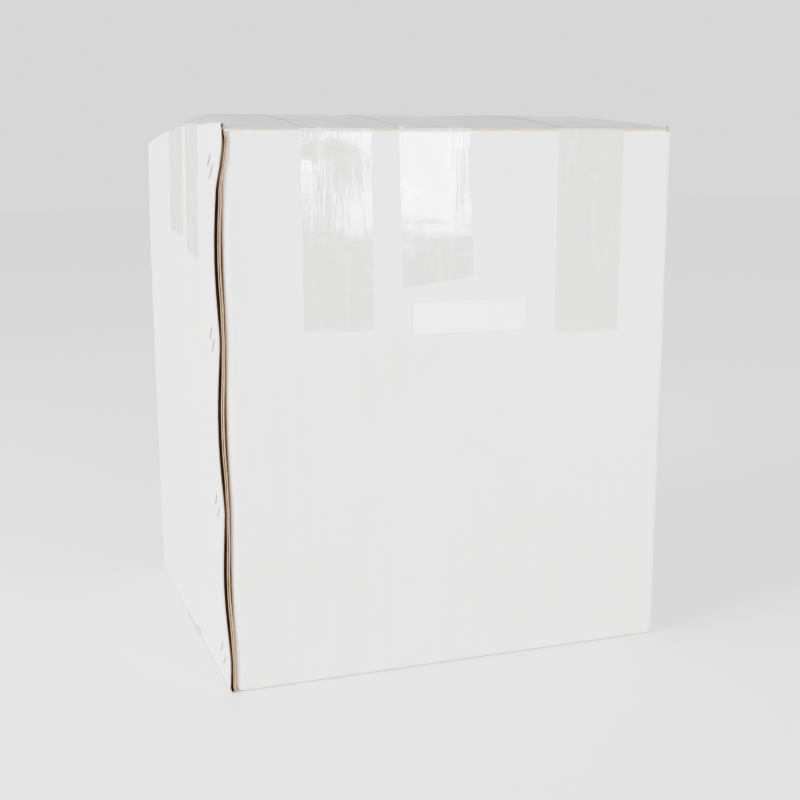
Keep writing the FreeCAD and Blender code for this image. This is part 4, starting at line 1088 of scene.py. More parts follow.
@dataclass
class WallSleeve(BoardWork):
    """The tube of four walls, with the open channels of its cut edge beside the front panel.

    Args:
        strip: the width of the finely made strip at the cut edge.
        tooth, teeth: the pitch and depth of the torn liner's teeth.
        channel: the depth of the open channels.
        ragged, flare: how unevenly the layers end, and how far the teeth stand off the board.
        pinched, pinch_span: how open the channels are at a staple, and the distances from it over which
            they open.
        thinned: how much thinner the board is where it is pinched.
        closing, crush_levels: how much the channels close at the crushed top, and where.
        stretches: the rows of points over the height, as its shares and the number of points.
    """

    strip: float = 8.0 * MM
    tooth: float = 1.35 * MM
    channel: float = 6.0 * MM
    ragged: float = 0.6 * MM
    teeth: float = 0.9 * MM
    flare: float = 0.75 * MM
    pinched: float = 0.34
    thinned: float = 0.28
    closing: float = 0.6
    pinch_span: tuple[float, float] = (6 * MM, 26 * MM)
    crush_levels: tuple[float, float] = (335 * MM, 362 * MM)
    stretches: tuple[tuple[float, float, int], ...] = ((0, 0.02, 5), (0.02, 0.9, 66), (0.9, 1.0, 14))

    def top_of(self, s: Array) -> Array:
        """Where the wall ends and its folded lip starts: lower on the two narrow walls.

        Args:
            s: distance along the path round the walls.

        Returns:
            The height, in metres.
        """
        shape = self.shape
        (left_start, left_stop), (_, right_start), (right_stop, _), _ = shape.arcs
        left = 1 - smoothstep(left_start, left_stop, s)
        right = (smoothstep(right_start, right_start + shape.corner, s)
                 * (1 - smoothstep(right_stop - shape.corner, right_stop, s)))
        high = shape.crease - shape.fold
        low_left = shape.rim_top(s - shape.half_depth, False) - shape.roll
        low_right = shape.rim_top(shape.half_depth - shape.corner - (s - right_start), True) - shape.roll
        return high + (low_left - high) * left + (low_right - high) * right

    def build(self) -> list[Object]:
        """The sleeve and the fine strip along its cut edge.

        Returns:
            The two pieces.
        """
        shape = self.shape
        s = shape.path_stations(4.0 * MM)
        s = np.concatenate([[self.strip], s[s > self.strip + 1 * MM]])
        t = np.unique(np.concatenate([np.linspace(*stretch) for stretch in self.stretches]))
        grid_s, grid_t = grid(s, t)
        grid_z = shape.bottom + grid_t * (self.top_of(grid_s) - shape.bottom)
        outer = shape.wall(grid_s, grid_z)
        inner = shape.wall(grid_s, grid_z, -shape.board)
        sleeve = build_mesh("carton_walls", shell(outer, inner, grid_s, shape.rubbed(outer)), self.coats)
        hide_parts("carton_sleeve")
        return [sleeve, self.cut_edge()]

    def cut_edge(self) -> Object:
        """The last millimetres of the left wall: toothed outer liner over two open channels.

        The liner's end is a triangle wave along the height, and every layer ends a little unevenly by
        a seeded ripple. Where the staples pinch the board and at the crushed top, the channels close up.

        Returns:
            The piece.
        """
        shape = self.shape
        z = spread(shape.bottom, self.top_of(np.array([0.0]))[0], self.tooth / 4)
        phase = np.abs((z / self.tooth) % 1.0 - 0.5) * 2
        gaping = self.pinched + (1 - self.pinched) * smoothstep(*self.pinch_span, shape.from_staple(z))
        crushed = 1 - self.closing * smoothstep(*self.crush_levels, z)
        back = np.full_like(z, self.strip)
        rows = [shape.wall(back, z)]
        layers = comb_layers()
        for number, (share, deep, _) in enumerate(layers):
            ragged = self.ragged * np.abs(ripple(z, z * 0.7, 40 + number // 2, 5 * MM))
            outer_liner = number < 2
            start = ragged + outer_liner * phase * self.teeth + deep * self.channel * gaping * crushed
            flare = outer_liner * (phase - 0.4) * self.flare
            rows.append(shape.wall(start, z, flare - share * shape.board * (1 - self.thinned * (1 - gaping))))
        rows += [shape.wall(back, z, -shape.board), rows[0]]
        coats = [Coat.OUTER, *(coat for _, _, coat in layers[1:]), Coat.INNER, Coat.INNER]
        patches = comb_patches(rows, coats)
        for end in (0, -1):
            loop = np.array([row[end] for row in rows])
            patches.append(cap(loop, loop[:-1].mean(axis=0), Coat.EDGE))
        return build_mesh("carton_wall_cut_edge", patches, self.coats, sharp=30)


@dataclass
class FoldLips(BoardWork):
    """The rounded tops of the walls, up to the creases, and the thin skin that bridges each crease.

    Args:
        skin: the thickness of the skin.
        bead: the radius at which a narrow wall's top rolls over.
        rim_board: how much thicker than the rolled bead the crushed board is left.
        tuck: how far the rolled rim comes down again inside.
        rumple: how uneven it is.
        channel: the depth of the open channels at its front end.
        flap_gap: how far the flaps end from the narrow walls' faces.
        long_ends: how far a long fold stays from the left and right faces.
        short_ends: how far a narrow wall's fold stays from the front, left and right, and from the back.
    """

    skin: float = 0.45 * MM
    bead: float = 1.25 * MM
    rim_board: float = 0.1 * MM
    tuck: float = 1.2 * MM
    rumple: float = 0.45 * MM
    channel: float = 2.6 * MM
    flap_gap: float = 3.1 * MM
    long_ends: tuple[float, float] = (5.5 * MM, 5.0 * MM)
    short_ends: tuple[float, float, float] = (0.3 * MM, 6.5 * MM, 6.0 * MM)

    def stations(self) -> Array:
        """Places along the long creases."""
        w = self.shape.half_width
        return spread(self.long_ends[0] - w, w - self.long_ends[1], 4 * MM)

    def long_lip(self, side: Side) -> Object:
        """The top of the front or back wall, an eighth of a circle that ends at the crease.

        Args:
            side: which long side.

        Returns:
            The piece.
        """
        shape = self.shape
        x = self.stations()
        grid_x, grid_a = grid(x, np.linspace(0, EIGHTH - shape.lip, 7))
        share = grid_a / (EIGHTH - shape.lip)
        outer = shape.fold_arc(side, grid_x, grid_a, 0.0)
        outer[:, 0] = shape.wall(shape.front_run(x, side), np.full_like(x, shape.crease - shape.fold))
        z = shape.crease - shape.fold - 0.2 * MM + share * 0.5 * MM
        inner = points(grid_x, side.value * (shape.half_depth - shape.board),
                       z - shape.left_sink(grid_x, side.value * shape.half_depth))
        return build_mesh("%s_wall_fold" % side.word, shell(outer, inner, grid_x, 0.6 + 0.65 * share),
                          self.coats)

    def crease_skin(self, side: Side) -> Object:
        """A narrow skin from the wall's lip to the flap's.

        Args:
            side: which long side.

        Returns:
            The piece.
        """
        x = self.stations()
        x = x[x > self.shape.dog_ear(side, x[0], 0.0) - self.shape.half_width + self.flap_gap]
        return over_crease("%s_crease_skin" % side.word, self.shape, side, x, 0.02 * MM, self.skin, 1.3,
                           self.coats, 38.0)

    def short_lip(self, right: bool) -> Object:
        """The top of a narrow wall, rolled over beside the ends of the outer flaps.

        The outer profile goes up to the rim's height, over a small half circle and a little down again
        inside; the inner one stays behind it and thins towards the rim, where the board is crushed.

        Args:
            right: true for the right wall, else the left one.

        Returns:
            The piece.
        """
        shape, radius = self.shape, self.bead
        sign = 1 if right else -1
        y = spread(self.short_ends[right] - shape.half_depth, shape.half_depth - self.short_ends[2], 3 * MM)
        s = shape.side_run(y, right)
        top = shape.rim_top(y, right)
        base = shape.wall(s, top - shape.roll)
        leaning = (shape.wall(s, top) - base) * np.array([1.0, 1.0, 0.0])
        rumple = self.rumple * ripple(y, y * 0.2, 25 if right else 27, 14 * MM)

        def rows(over: Array, up: Array) -> Array:
            """The profile set at each station, leaning and rumpled as it goes up.

            Args:
                over: how far each row of the profile lies inside the wall's face.
                up: its height over the roll's foot.

            Returns:
                Rows of points, one for each row of the profile.
            """
            share = up[:, None] / shape.roll
            lift = points(rumple * share ** 2 - sign * over[:, None], 0.0, up[:, None])
            return base + leaning * share[..., None] + lift

        flat = shape.roll - radius
        turn = np.linspace(0.35, math.pi, 8)
        over = np.concatenate([np.zeros(6), radius * (1 - np.cos(turn)), [2 * radius]])
        up = np.concatenate([np.linspace(0, flat, 6), flat + radius * np.sin(turn), [flat - self.tuck]])
        share = np.linspace(0, 1, len(up))
        thin = shape.board - (shape.board - 2 * radius - self.rim_board) * np.minimum(1.0, share * 2.4)
        outer, inner = rows(over, up), rows(thin, (flat - self.tuck - 0.1 * MM) * share)
        crest = np.clip(1.1 - np.abs(np.arange(len(up)) - 9) / 5.5, 0, 1)[:, None]
        wear = crest * (1.55 + 0.4 * ripple(y, y * 0.1, 29, 20 * MM))
        layers = comb_layers((0.13, 0.56), (0.66, 0.84))
        recess = np.array([0.0, self.channel, 0.0])
        ends = [outer[:, 0] * (1 - share) + inner[:, 0] * share + recess * deep for share, deep, _ in layers]
        combs = {"low": comb_patches(ends, [coat for _, _, coat in layers[1:]])}
        across = np.broadcast_to(y, outer.shape[:2])
        return build_mesh("%s_wall_fold" % ("right" if right else "left"),
                          shell(outer, inner, across, wear, combs), self.coats)

    def build(self) -> list[Object]:
        """All four lips and the two crease skins, in that order."""
        return [self.long_lip(Side.FRONT), self.long_lip(Side.BACK), self.short_lip(False),
                self.short_lip(True), self.crease_skin(Side.FRONT), self.crease_skin(Side.BACK)]


@dataclass
class TopFlaps(BoardWork):
    """The two outer top flaps, which rise in a shallow dome to the taped seam.

    Args:
        end_gap: how far they end from the narrow walls' faces.
        channel: the depth of the open channels at their ends.
    """

    end_gap: float = 3.1 * MM
    channel: float = 6.0 * MM

    def stations(self) -> Array:
        """Places along the flap, closer together at its left end."""
        edge, split = self.shape.half_width - self.end_gap, -self.shape.ear_start
        return np.concatenate([spread(-edge, split, 2.5 * MM), spread(split, edge, 4 * MM)[1:]])

    def profile(self) -> tuple[Array, Array]:
        """The fold's angles and then the distances in from the crease, for the rows of a flap.

        Returns:
            The angles and the distances.
        """
        shape = self.shape
        angles = np.linspace(EIGHTH + shape.lip, math.pi / 2, 6)
        reach = np.concatenate([spread(shape.fold, 20 * MM, 3 * MM)[1:],
                                spread(20 * MM, shape.half_depth - shape.seam, 5 * MM)[1:]])
        return angles, reach

    def surface(self, side: Side, x: Array, w: float) -> Array:
        """The flap's outer face raised by w, as rows over the whole reach by columns over x.

        Args:
            side: which flap.
            x: places along it.
            w: distance upwards.

        Returns:
            An array of points.
        """
        shape = self.shape
        angles, reach = self.profile()
        grid_a, grid_x = grid(angles, x)
        fold = shape.fold_arc(side, grid_x + shape.dog_ear(side, grid_x, 0.0), grid_a, w)
        grid_r, grid_x = grid(reach, x)
        return np.concatenate([fold, shape.flap(side, grid_x + shape.dog_ear(side, grid_x, grid_r),
                                                grid_r, w)])

    def underside(self, side: Side, x: Array) -> Array:
        """The flap's inner face: the same dome a board lower, from the mitre to the seam.

        Args:
            side: which flap.
            x: places along it.

        Returns:
            An array of points.
        """
        shape = self.shape
        angles, reach = self.profile()
        start, stop = shape.board + 0.3 * MM, shape.half_depth - shape.seam
        share = np.concatenate([np.linspace(0, 0.012, len(angles)), reach / stop * 0.985 + 0.015])
        inner = start + (stop - start) * (share - share[0]) / (share[-1] - share[0])
        grid_r, grid_x = grid(inner, x)
        grid_x = grid_x + shape.dog_ear(side, grid_x, grid_r)
        face = shape.flap(side, grid_x, grid_r, -shape.board)
        rest = shape.crease - shape.board - 0.2 * MM - shape.left_sink(grid_x, face[..., 1])
        face[..., 2] = np.maximum(face[..., 2], rest)
        return face

    def build_flap(self, side: Side) -> Object:
        """One flap, with the comb of open channels at both of its ends.

        Args:
            side: which flap.

        Returns:
            The piece.
        """
        x = self.stations()
        outer, inner = self.surface(side, x, 0.0), self.underside(side, x)
        layers = comb_layers()
        combs = {}
        for word, end in (("low", x[0] + self.channel), ("high", x[-1] - self.channel)):
            edge = x[0] if word == "low" else x[-1]
            rows = []
            for share, deep, _ in layers:
                at = np.array([end if deep else edge])
                mixed = self.surface(side, at, 0.0) * (1 - share) + self.underside(side, at) * share
                rows.append(mixed[:, 0])
            combs[word] = comb_patches(rows, [coat for _, _, coat in layers[1:]])
        ends = smoothstep(self.shape.half_width - 12 * MM, self.shape.half_width - 1 * MM,
                          np.abs(outer[..., 0]))
        wear = ends * 0.8 + 1.2 * np.exp(-np.arange(len(outer))[:, None] / 3.5)
        flap = build_mesh("%s_outer_flap" % side.word, shell(outer, inner, outer[..., 0], wear, combs),
                          self.coats)
        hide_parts("%s_top_flap" % side.word)
        return flap

    def build(self) -> list[Object]:
        """Both flaps."""
        return [self.build_flap(side) for side in Side]


@dataclass
class InnerAndBottomFlaps(BoardWork):
    """The folded flaps that close the carton under the outer ones and beneath it.

    Args:
        slabs: for each its name, the node whose place it takes, and how far it stays inside that
            node's box along X and Y, in millimetres.
        clearance: how far it stays inside that box along Z.
    """

    clearance: float = 0.15 * MM
    slabs: tuple[tuple[str, str, float, float], ...] = (
        ("left_inner_flap", "left_top_flap", 0.4, 1.2), ("right_inner_flap", "right_top_flap", 5.0, 1.2),
        ("left_inner_base_flap", "left_bottom_flap", 0.4, 0.6),
        ("right_inner_base_flap", "right_bottom_flap", 0.6, 0.6),
        ("front_base_flap", "front_bottom_flap", 4.9, 0.2), ("back_base_flap", "back_bottom_flap", 4.9, 0.2))

    def slab(self, name: str, node: str, inset: tuple[float, float], seed: int) -> Object:
        """One flap as a slightly uneven slab of board in the box of its node.

        Args:
            name: the piece's name.
            node: the node whose place it takes.
            inset: how far it stays inside that box along X and Y.
            seed: which unevenness it has.

        Returns:
            The piece.
        """
        low, high = (np.array(corner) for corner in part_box(node))
        low[:2] += inset
        high[:2] -= inset
        grid_x, grid_y = grid(*(spread(low[axis], high[axis], 9 * MM) for axis in (0, 1)))
        sag = 0.12 * MM * ripple(grid_x, grid_y, seed, 50 * MM)
        if low[2] > self.shape.crease / 2:
            sag = sag - self.shape.left_sink(grid_x, grid_y)
        levels = (high[2] - self.clearance, low[2] + self.clearance)
        top, under = (points(grid_x, grid_y, level + sag) for level in levels)
        piece = build_mesh(name, shell(top, under, grid_x, np.full_like(grid_x, 0.1)), self.coats)
        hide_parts(node)
        return piece

    def build(self) -> list[Object]:
        """The six slabs."""
        return [self.slab(name, node, (along * MM, over * MM), 31 + number)
                for number, (name, node, along, over) in enumerate(self.slabs)]


@dataclass(frozen=True)
class CrossStrip:
    """A strip of tape over the top: its middle and the slanting ends of its two tails.

    Args:
        middle: place of its middle along X.
        half: half its width.
        end_left: height of the tails' ends at the left.
        end_right: height of the tails' ends at the right.
        lean: how far the lower end is shifted along X.
        air: how much trapped air and wrinkling it shows.
    """

    middle: float
    half: float
    end_left: float
    end_right: float
    lean: float
    air: float


@dataclass
class ClearTape:
    """All the packing tape: strips over the top, the seam tape with its tails, and crease bridges.

    Args:
        shape: the carton's shape.
        flaps: the top flaps that it lies on.
        film: the tape's material on the walls.
        top_shade_film: its material on the top, drawn darker and grey-green, with the top's shade painted in.
        lift: how far its outer face lies over the board.
        thick: its thickness.
        columns: how many points a strip over the top has across it.
        torn: how ragged its torn ends are.
        wrinkle, tail_wrinkle: how far it and the seam tape's tails wrinkle.
        slant: how much higher a seam tail ends at its back edge.
        bend: the radius at which a seam tail turns over the rim.
        strips: the strips over the top.
        seam_tails: for each end of a lengthwise strip whether it is on the right wall, its number
            there, the height of its end, and its two edges along Y.
    """

    shape: CartonShape
    flaps: TopFlaps
    film: Material
    top_shade_film: Material
    lift: float = 0.22 * MM
    thick: float = 0.12 * MM
    columns: int = 19
    torn: float = 0.9 * MM
    wrinkle: float = 0.16 * MM
    tail_wrinkle: float = 0.12 * MM
    slant: float = 1.6 * MM
    bend: float = 1.4 * MM
    strips: tuple[CrossStrip, ...] = (
        CrossStrip(-0.0846, 0.0238, 0.2445, 0.2428, -0.0006, 0.75),
        CrossStrip(-0.0168, 0.0252, 0.2705, 0.2762, -0.0026, 1.0),
        CrossStrip(0.0983, 0.0248, 0.2345, 0.2335, 0.0004, 0.3))
    seam_tails: tuple[tuple[bool, int, float, float, float], ...] = (
        (False, 0, 0.2998, -0.018, 0.03), (False, 1, 0.288, -0.076, -0.034),
        (True, 0, 0.296, -0.024, 0.024), (True, 1, 0.285, -0.08, -0.034))

    def sheet(self, name: str, outer: Array, down: Array, air: Array | float, top_shaded: bool = False) -> Object:
        """A closed film from its outer face, the way to its back and its share of trapped air; on the top it
        takes the darker film with the top's painted shade.
        """
        patches = shell(outer, outer + down * self.thick, None, air)
        return build_mesh(name, patches, [self.top_shade_film if top_shaded else self.film], sharp=60)

    def tail(self, strip: CrossStrip, side: Side, number: int) -> Object:
        """The part of a strip on the wall, from its torn end up round the fold to the crease.

        Args:
            strip: the strip.
            side: which long side.
            number: the strip's number, from 0.

        Returns:
            The piece.
        """
        shape = self.shape
        grid_u, grid_v = grid(np.linspace(-1, 1, self.columns), np.linspace(0, 1, 40))
        end = strip.end_left + (strip.end_right - strip.end_left) * (grid_u + 1) / 2
        end = end + self.torn * ripple(grid_u * 0.02, grid_u * 0.01, 50 + number, 12 * MM)
        z = end + (shape.crease - shape.fold - end) * grid_v
        x = strip.middle + grid_u * strip.half - strip.lean * (1 - grid_v)
        wrinkle = self.wrinkle * strip.air * ripple(x, z, 60 + number, 12 * MM) * grid_v
        wall = shape.wall(shape.front_run(x, side), z, self.lift + wrinkle)
        fold = shape.fold_arc(side, *grid(x[:, -1], np.linspace(0, EIGHTH - shape.lip, 7)), self.lift)
        outer = np.concatenate([wall[:, :-1], fold], axis=1)
        air = np.full(outer.shape[:2], strip.air)
        air[:, :grid_v.shape[1]] *= 0.25 + 0.75 * grid_v ** 1.5
        return self.sheet("%s_cross_tail_%d" % (side.word, number + 1), outer,
                          np.array([0.0, -side.value, 0.0]), air)

    def over_flap(self, side: Side, x: Array, name: str, air: float) -> Object:
        """The part of a strip that lies on a flap, from the crease to the seam."""
        outer = self.flaps.surface(side, x, self.lift + 0.16 * MM)
        # On the top the film is the darker one with the painted shade.
        return self.sheet(name, outer, DOWN, air * np.linspace(1, 0.4, len(outer))[:, None], top_shaded=True)

    def seam_strip(self, side: Side) -> Object:
        """Half of the lengthwise seam tape, from end to end of its flap.

        Args:
            side: which flap.

        Returns:
            The piece.
        """
        shape = self.shape
        reach = spread(shape.half_depth - 26 * MM, shape.half_depth - shape.seam, 4 * MM)
        grid_r, grid_x = grid(reach, self.flaps.stations())
        # The seam tape lies on the top, so it takes the film with the painted shade.
        return self.sheet("%s_seam_strip" % side.word, shape.flap(side, grid_x, grid_r, self.lift), DOWN,
                          0.4, top_shaded=True)

    def seam_tail(self, right: bool, number: int, low: float, first: float, last: float) -> Object:
        """The end of a lengthwise strip, pressed down a narrow wall from its fold.

        Args:
            right: true on the right wall, else on the left one.
            number: which tail of that wall it is.
            low: the height of its end.
            first: its edge towards the front.
            last: its edge towards the back.

        Returns:
            The piece.
        """
        shape = self.shape
        grid_y, grid_v = grid(np.linspace(first, last, 15), np.linspace(0, 1, 30))
        top = shape.rim_top(grid_y, right) - 1.1 * MM
        end = low + self.slant * (grid_y - first) / (last - first)
        grid_z = end + (top - end) * grid_v
        wrinkle = self.tail_wrinkle * ripple(grid_y, grid_z, 80 + number, 14 * MM)
        outer = shape.wall(shape.side_run(grid_y, right), grid_z,
                           self.lift + 0.3 * MM * grid_v ** 8 + wrinkle)
        sign = 1 if right else -1
        angles = np.linspace(0, math.pi / 2, 6)[1:]
        fold = self.bend * points(sign * (np.cos(angles) - 1), 0.0, np.sin(angles))
        outer = np.concatenate([outer, outer[:, -1:] + fold], axis=1)
        name = "%s_seam_tail_%d" % ("right" if right else "left", number + 1)
        return self.sheet(name, outer, np.array([-sign * 1.0, 0.0, -0.2]), 0.35)

    def build(self) -> dict[str, list[Object]]:
        """Every strip, by the body that it rides on; the bridges are under an empty name.

        Returns:
            The pieces by body.
        """
        parts: dict[str, list[Object]] = {"root": [], "front_flap": [], "back_flap": [], "": []}
        for side in Side:
            for number, strip in enumerate(self.strips):
                x = strip.middle + np.linspace(-1, 1, self.columns) * strip.half
                parts["root"].append(self.tail(strip, side, number))
                name = "%s_cross_strip_%d" % (side.word, number + 1)
                parts[side.body].append(self.over_flap(side, x, name, strip.air))
                name = "%s_cross_bridge_%d" % (side.word, number + 1)
                parts[""].append(over_crease(name, self.shape, side, x, self.lift, self.thick, 0.5,
                                             [self.film], 60))
            parts[side.body].append(self.seam_strip(side))
            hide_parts("%s_cross_tape" % side.word)
            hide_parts("%s_seam_tape" % side.word)
        parts["root"] += [self.seam_tail(*tail) for tail in self.seam_tails]
        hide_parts("cross_tape_tails")
        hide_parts("seam_tape_tails")
        return parts


@dataclass
class Trim:
    """The blank label on the front wall and the staples of the left joint.

    Args:
        shape: the carton's shape.
        paper: the label's material.
        steel: the staples' material.
        label_faces: how far the label's front and back lie over the wall.
        curl: how far its corners lift.
        crown: a staple's length on the wall.
        wire: half the width of its flat wire.
        flat: the wire's thickness as a share of its width.
        bend: the share of half its length that turns in.
        dive: how deep its ends go.
        proud: how far its middle stands over the board.
        slope: its lean from level.
        pairs: for each staple of a pair its distance behind the cut edge and over its level.
    """

    shape: CartonShape
    paper: Material
    steel: Material
    label_faces: tuple[float, float] = (0.42 * MM, 0.28 * MM)
    curl: float = 0.12 * MM
    crown: float = 12.5 * MM
    wire: float = 0.95 * MM
    flat: float = 0.42
    bend: float = 0.14
    dive: float = 1.9 * MM
    proud: float = 0.35 * MM
    slope: float = math.radians(47)
    pairs: tuple[tuple[float, float], ...] = ((23.5 * MM, 3.5 * MM), (16.5 * MM, -4.0 * MM))

    def label(self) -> Object:
        """A thin label laid on the wall's swell, with slightly lifted corners.

        Returns:
            The piece.
        """
        low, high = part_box("front_label")
        x, z = grid(spread(low[0], high[0], 3 * MM), spread(low[2], high[2], 2 * MM))
        ends = np.minimum(np.minimum(x - low[0], high[0] - x), np.minimum(z - low[2], high[2] - z))
        curl = self.curl * np.exp(-ends / (2 * MM))
        run = self.shape.front_run(x, Side.FRONT)
        outer, inner = (self.shape.wall(run, z, lift + curl) for lift in self.label_faces)
        piece = build_mesh("blank_front_label", shell(outer, inner), [self.paper])
        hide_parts("front_label")
        return piece

    def staple(self, y: float, z: float, number: int) -> Object:
        """One flat wire, pressed into the board: a tube of oval section whose ends dive inwards.

        The section's centre goes along a straight line in the wall, and over its last stretch sinks by
        the square of the distance. Its slope and length vary by a seeded draw.

        Args:
            y: the place of its middle.
            z: the height of its middle.
            number: which staple it is.

        Returns:
            The piece.
        """
        draw = np.random.default_rng(300 + number)
        slope = self.slope + draw.uniform(-0.09, 0.09)
        length = self.crown * draw.uniform(0.93, 1.05)
        along, ring = grid(np.linspace(-1, 1, 25), np.linspace(0, 2 * math.pi, 11))
        sunk = np.clip((np.abs(along) - 1 + self.bend) / self.bend, 0, 1) ** 2 * self.dive
        middle_y = y + along * length / 2 * math.cos(slope)
        middle_z = z - along * length / 2 * math.sin(slope)
        wide = np.sin(ring) * self.wire
        out = np.cos(ring) * self.wire * self.flat + self.proud - sunk
        run = self.shape.side_run(middle_y + wide * math.sin(slope), False)
        outer = self.shape.wall(run, middle_z + wide * math.cos(slope), out)
        caps = [cap(outer[end], outer[end].mean(axis=0), Coat.OUTER) for end in (0, -1)]
        return build_mesh("joint_staple_%d" % (number + 1), [Patch(outer), *caps], [self.steel], sharp=50)

    def build(self) -> list[Object]:
        """The label and four pairs of staples.

        Returns:
            The label and then the staples.
        """
        front = -self.shape.half_depth
        places = [(front + rear, level + over) for level in self.shape.staple_levels
                  for rear, over in self.pairs]
        pieces = [self.label(), *(self.staple(y, z, number) for number, (y, z) in enumerate(places))]
        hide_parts("joint_staples")
        return pieces


# The motor's own parts, and the studio


@dataclass
class PackedMotor:
    """Finishes for the motor, its electrics and the packing, by material slot.

    Args:
        skins: for each slot with a plain skin the values of its SkinFinish, after the name.
    """

    skins: dict[str, tuple] = field(default_factory=lambda: {
        "booklet_paper": ((0.83, 0.83, 0.8, 1), (0.7, 0.7, 0.66, 1), 0.7, 0, 1500),
        "remote_plastic": ((0.03, 0.035, 0.045, 1), (0.07, 0.07, 0.08, 1), 0.42),
        "zinc_steel": ((0.6, 0.61, 0.62, 1), (0.4, 0.41, 0.43, 1), 0.38, 1, 500, 0.03 * MM, 5),
        "cast_alloy": ((0.55, 0.56, 0.57, 1), (0.34, 0.34, 0.35, 1), 0.55, 1, 1400, 0.12 * MM),
        "fastener_steel": ((0.63, 0.6, 0.5, 1), (0.4, 0.38, 0.3, 1), 0.32, 1),
        "gear_bronze": ((0.62, 0.42, 0.19, 1), (0.4, 0.25, 0.1, 1), 0.35, 1, 800, 0.03 * MM),
        "shaft_steel": ((0.58, 0.58, 0.59, 1), (0.38, 0.38, 0.4, 1), 0.25, 1, 900, 0.02 * MM, 12),
        "bearing_steel": ((0.66, 0.66, 0.67, 1), (0.45, 0.45, 0.46, 1), 0.2, 1),
        "seal_rubber": ((0.02, 0.02, 0.022, 1), (0.05, 0.05, 0.05, 1), 0.62),
        "core_steel": ((0.32, 0.32, 0.34, 1), (0.2, 0.19, 0.19, 1), 0.5, 1, 2200, 0.06 * MM, 0.1),
        "enamelled_copper": ((0.5, 0.18, 0.06, 1), (0.3, 0.1, 0.04, 1), 0.3, 0.85, 1300, 0.25 * MM, 8),
        "cover_plastic": ((0.6, 0.61, 0.62, 1), (0.5, 0.51, 0.52, 1), 0.5, 0, 2400, 0.06 * MM),
        "black_plastic": ((0.025, 0.025, 0.028, 1), (0.06, 0.06, 0.06, 1), 0.45),
        "terminal_plastic": ((0.06, 0.3, 0.12, 1), (0.04, 0.2, 0.09, 1), 0.4),
    })

    def dress(self) -> int:
        """Gives each carried-over node the finish of its slot.

        Returns:
            How many nodes were dressed.
        """
        finishes = [FoamFinish(), CircuitFinish()]
        finishes += [SkinFinish(slot, *values) for slot, values in self.skins.items()]
        by_slot = {finish.name: finish for finish in finishes}
        built: dict[str, Material] = {}
        items = [item for item in frame["record"]["subparts"] if item["material_slot"] in by_slot]
        for item in items:
            slot = item["material_slot"]
            if slot not in built:
                built[slot] = by_slot[slot].build()
            coat_node(item["node"], built[slot])
        return len(items)


def coat_node(node: str, material: Material) -> None:
    """Gives a carried-over node one material.

    Args:
        node: the node's name.
        material: its only material.
    """
    slots = frame["nodes"][node].data.materials
    slots.clear()
    slots.append(material)


@dataclass
class Studio:
    """A pale floor, soft lights and the camera.

    Args:
        eye: the camera's place.
        turn: its rotation about X, Y and Z, in degrees.
        lens: its focal length, in millimetres.
        air: the strength of the even light all round.
        aim: what the lamps face.
        lamps: for each its name, place, size in metres and power in watts.
        floor_size: half the floor's width.
    """

    eye: Place = (-0.3308, -0.94195, 0.36821)
    turn: Place = (78.51388, 0.00974, -19.75446)
    lens: float = 58.0644
    air: float = 1.85
    aim: Place = (0.0, 0.0, 0.19)
    lamps: tuple[tuple[str, Place, float, float], ...] = (
        ("left_softbox", (-1.9, -0.35, 0.8), 1.1, 105.0), ("glint_softbox", (0.62, -1.9, 0.36), 0.34, 60.0))
    floor_size: float = 6.0

    def add(self, name: str, data: bpy.types.ID) -> Object:
        """A new object in the scene.

        Args:
            name: the object's name.
            data: its mesh, light or camera.

        Returns:
            The object.
        """
        item = bpy.data.objects.new(name, data)
        bpy.context.scene.collection.objects.link(item)
        return item

    def floor(self) -> None:
        """A wide plain floor."""
        material = bpy.data.materials.new("studio_floor")
        material.use_nodes = True
        w = Wiring(material.node_tree)
        tone = w.mix(w.noise(w.place(), 2.0), (0.93, 0.93, 0.93, 1), (0.95, 0.95, 0.95, 1))
        w.close(Base_Color=tone, Roughness=0.6)
        ends = np.array([-self.floor_size, self.floor_size])
        corners = points(*grid(ends, ends), CAD_BOX[0][2] - 0.2 * MM)
        mesh = bpy.data.meshes.new("studio_floor")
        mesh.from_pydata(corners.reshape(-1, 3), [], [(0, 2, 3, 1)])
        mesh.materials.append(material)
        self.add("studio_floor", mesh)

    def lamp(self, name: str, place: Place, size: float, power: float) -> None:
        """A square area light that faces the aim.

        Args:
            name: the lamp's name.
            place: where it stands.
            size: the length of its sides, in metres.
            power: its power, in watts.
        """
        data = bpy.data.lights.new(name, "AREA")
        data.shape = "SQUARE"
        data.size = size
        data.energy = power
        x, y, z = np.array(self.aim) - np.array(place)
        lamp = self.add(name, data)
        pitch, yaw = math.atan2(math.hypot(x, y), -z), math.atan2(x, -y) + math.pi
        lamp.rotation_euler = Euler((pitch, 0.0, yaw), "XYZ")
        lamp.location = place

    def camera(self) -> None:
        """The camera, without shift or depth of field."""
        data = bpy.data.cameras.new("studio_camera")
        data.lens = self.lens
        data.sensor_width = 36.0
        camera = self.add("studio_camera", data)
        camera.location = self.eye
        camera.rotation_euler = Euler([math.radians(angle) for angle in self.turn], "XYZ")
        bpy.context.scene.camera = camera

    def build(self) -> None:
        """Everything that isn't the object."""
        world = bpy.data.worlds.new("studio_air")
        world.use_nodes = True
        background = world.node_tree.nodes["Background"]
        background.inputs["Color"].default_value = (1.0, 1.0, 1.0, 1)
        background.inputs["Strength"].default_value = self.air
        bpy.context.scene.world = world
        self.floor()
        for lamp in self.lamps:
            self.lamp(*lamp)
        self.camera()


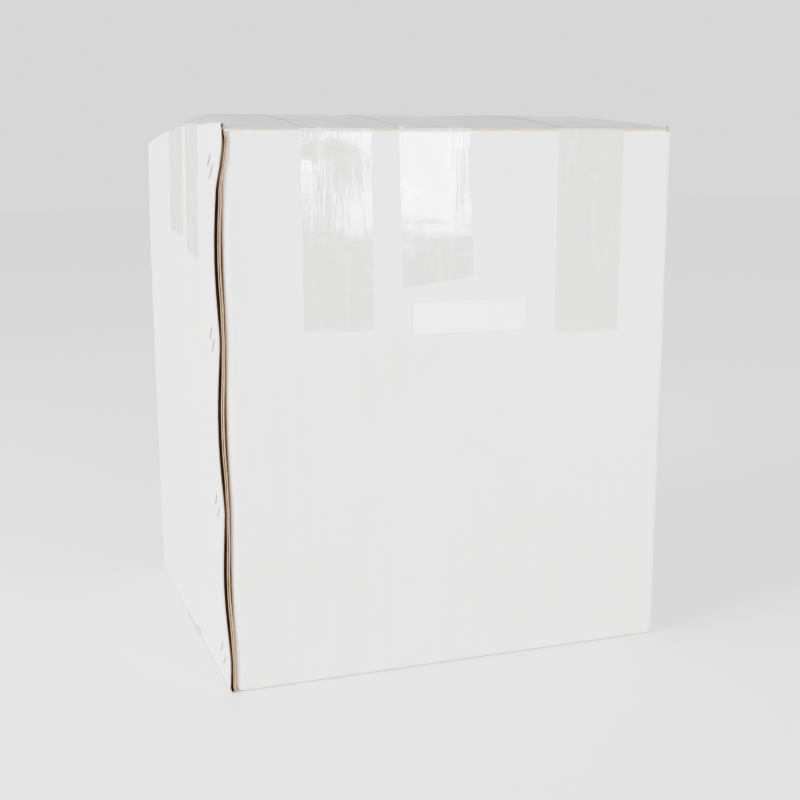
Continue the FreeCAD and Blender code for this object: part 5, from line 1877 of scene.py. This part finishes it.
def ride_all(pieces: list[Object], body: str) -> None:
    """Lets pieces ride on a body; pieces with an empty body name are left unattached.

    Args:
        pieces: the pieces.
        body: the body's name, empty for pieces that stay unattached.
    """
    for piece in pieces:
        if body:
            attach(piece, body)
        LOG.info("%s, on %s, has %d faces", piece.name, body or "two bodies", len(piece.data.polygons))


def main() -> None:
    """Builds the carton, its tape and trim, dresses the motor inside and sets the studio."""
    logging.basicConfig(level=logging.INFO, format="%(name)s: %(message)s")
    shape = CartonShape()
    coats = [LinerFinish().build(),
             KraftFinish("kraft_liner", (0.36, 0.235, 0.13, 1), (0.25, 0.155, 0.08, 1)).build(),
             KraftFinish("kraft_cut_edge", (0.42, 0.28, 0.16, 1), (0.16, 0.09, 0.045, 1)).build(),
             # Near-black kraft for the open channels: the shade inside them painted into the colour.
             KraftFinish("kraft_channel", (0.06, 0.034, 0.018, 1), (0.025, 0.014, 0.009, 1)).build()]
    # The top flaps' white liner drawn darker and grey-green: the shade on the carton's top painted into its
    # colour.
    dusty_liner = LinerFinish("dusty_liner", (0.43, 0.455, 0.425, 1), (0.32, 0.33, 0.29, 1)).build()
    walls = WallSleeve(shape, coats).build()
    lips = FoldLips(shape, coats).build()
    # Their outer face takes that liner with the painted top shade.
    flaps = TopFlaps(shape, [dusty_liner, *coats[1:]])
    front, back = flaps.build()
    hidden = InnerAndBottomFlaps(shape, coats).build()
    for pieces, body in ((walls, "root"), (lips[:4], "root"), (lips[4:], ""), ([front], "front_flap"),
                         ([back], "back_flap"), (hidden, "root")):
        ride_all(pieces, body)
    film = TapeFinish().build()
    # The tape on the top drawn darker and grey-green: the shade on the carton's top painted into its colour.
    top_shade_film = TapeFinish("dusty_tape", (0.37, 0.4, 0.375, 1), (0.66, 0.68, 0.66, 1)).build()
    for body, pieces in ClearTape(shape, flaps, film, top_shade_film).build().items():
        ride_all(pieces, body)
    coat_node("bottom_seam_tape", film)
    paper = SkinFinish("label_paper", (0.9, 0.9, 0.9, 1), (0.86, 0.86, 0.85, 1), 0.3, 0, 1500, 0.01 * MM)
    steel = SkinFinish("staple_steel", (0.3, 0.295, 0.29, 1), (0.12, 0.1, 0.085, 1), 0.36, 1, 900, 0.02 * MM)
    trim = Trim(shape, paper.build(), steel.build()).build()
    ride_all(trim[:1], "root")
    ride_all(trim[1:], "root")
    LOG.info("%d inner nodes dressed", PackedMotor().dress())
    Studio().build()


if __name__ == "__main__":
    main()
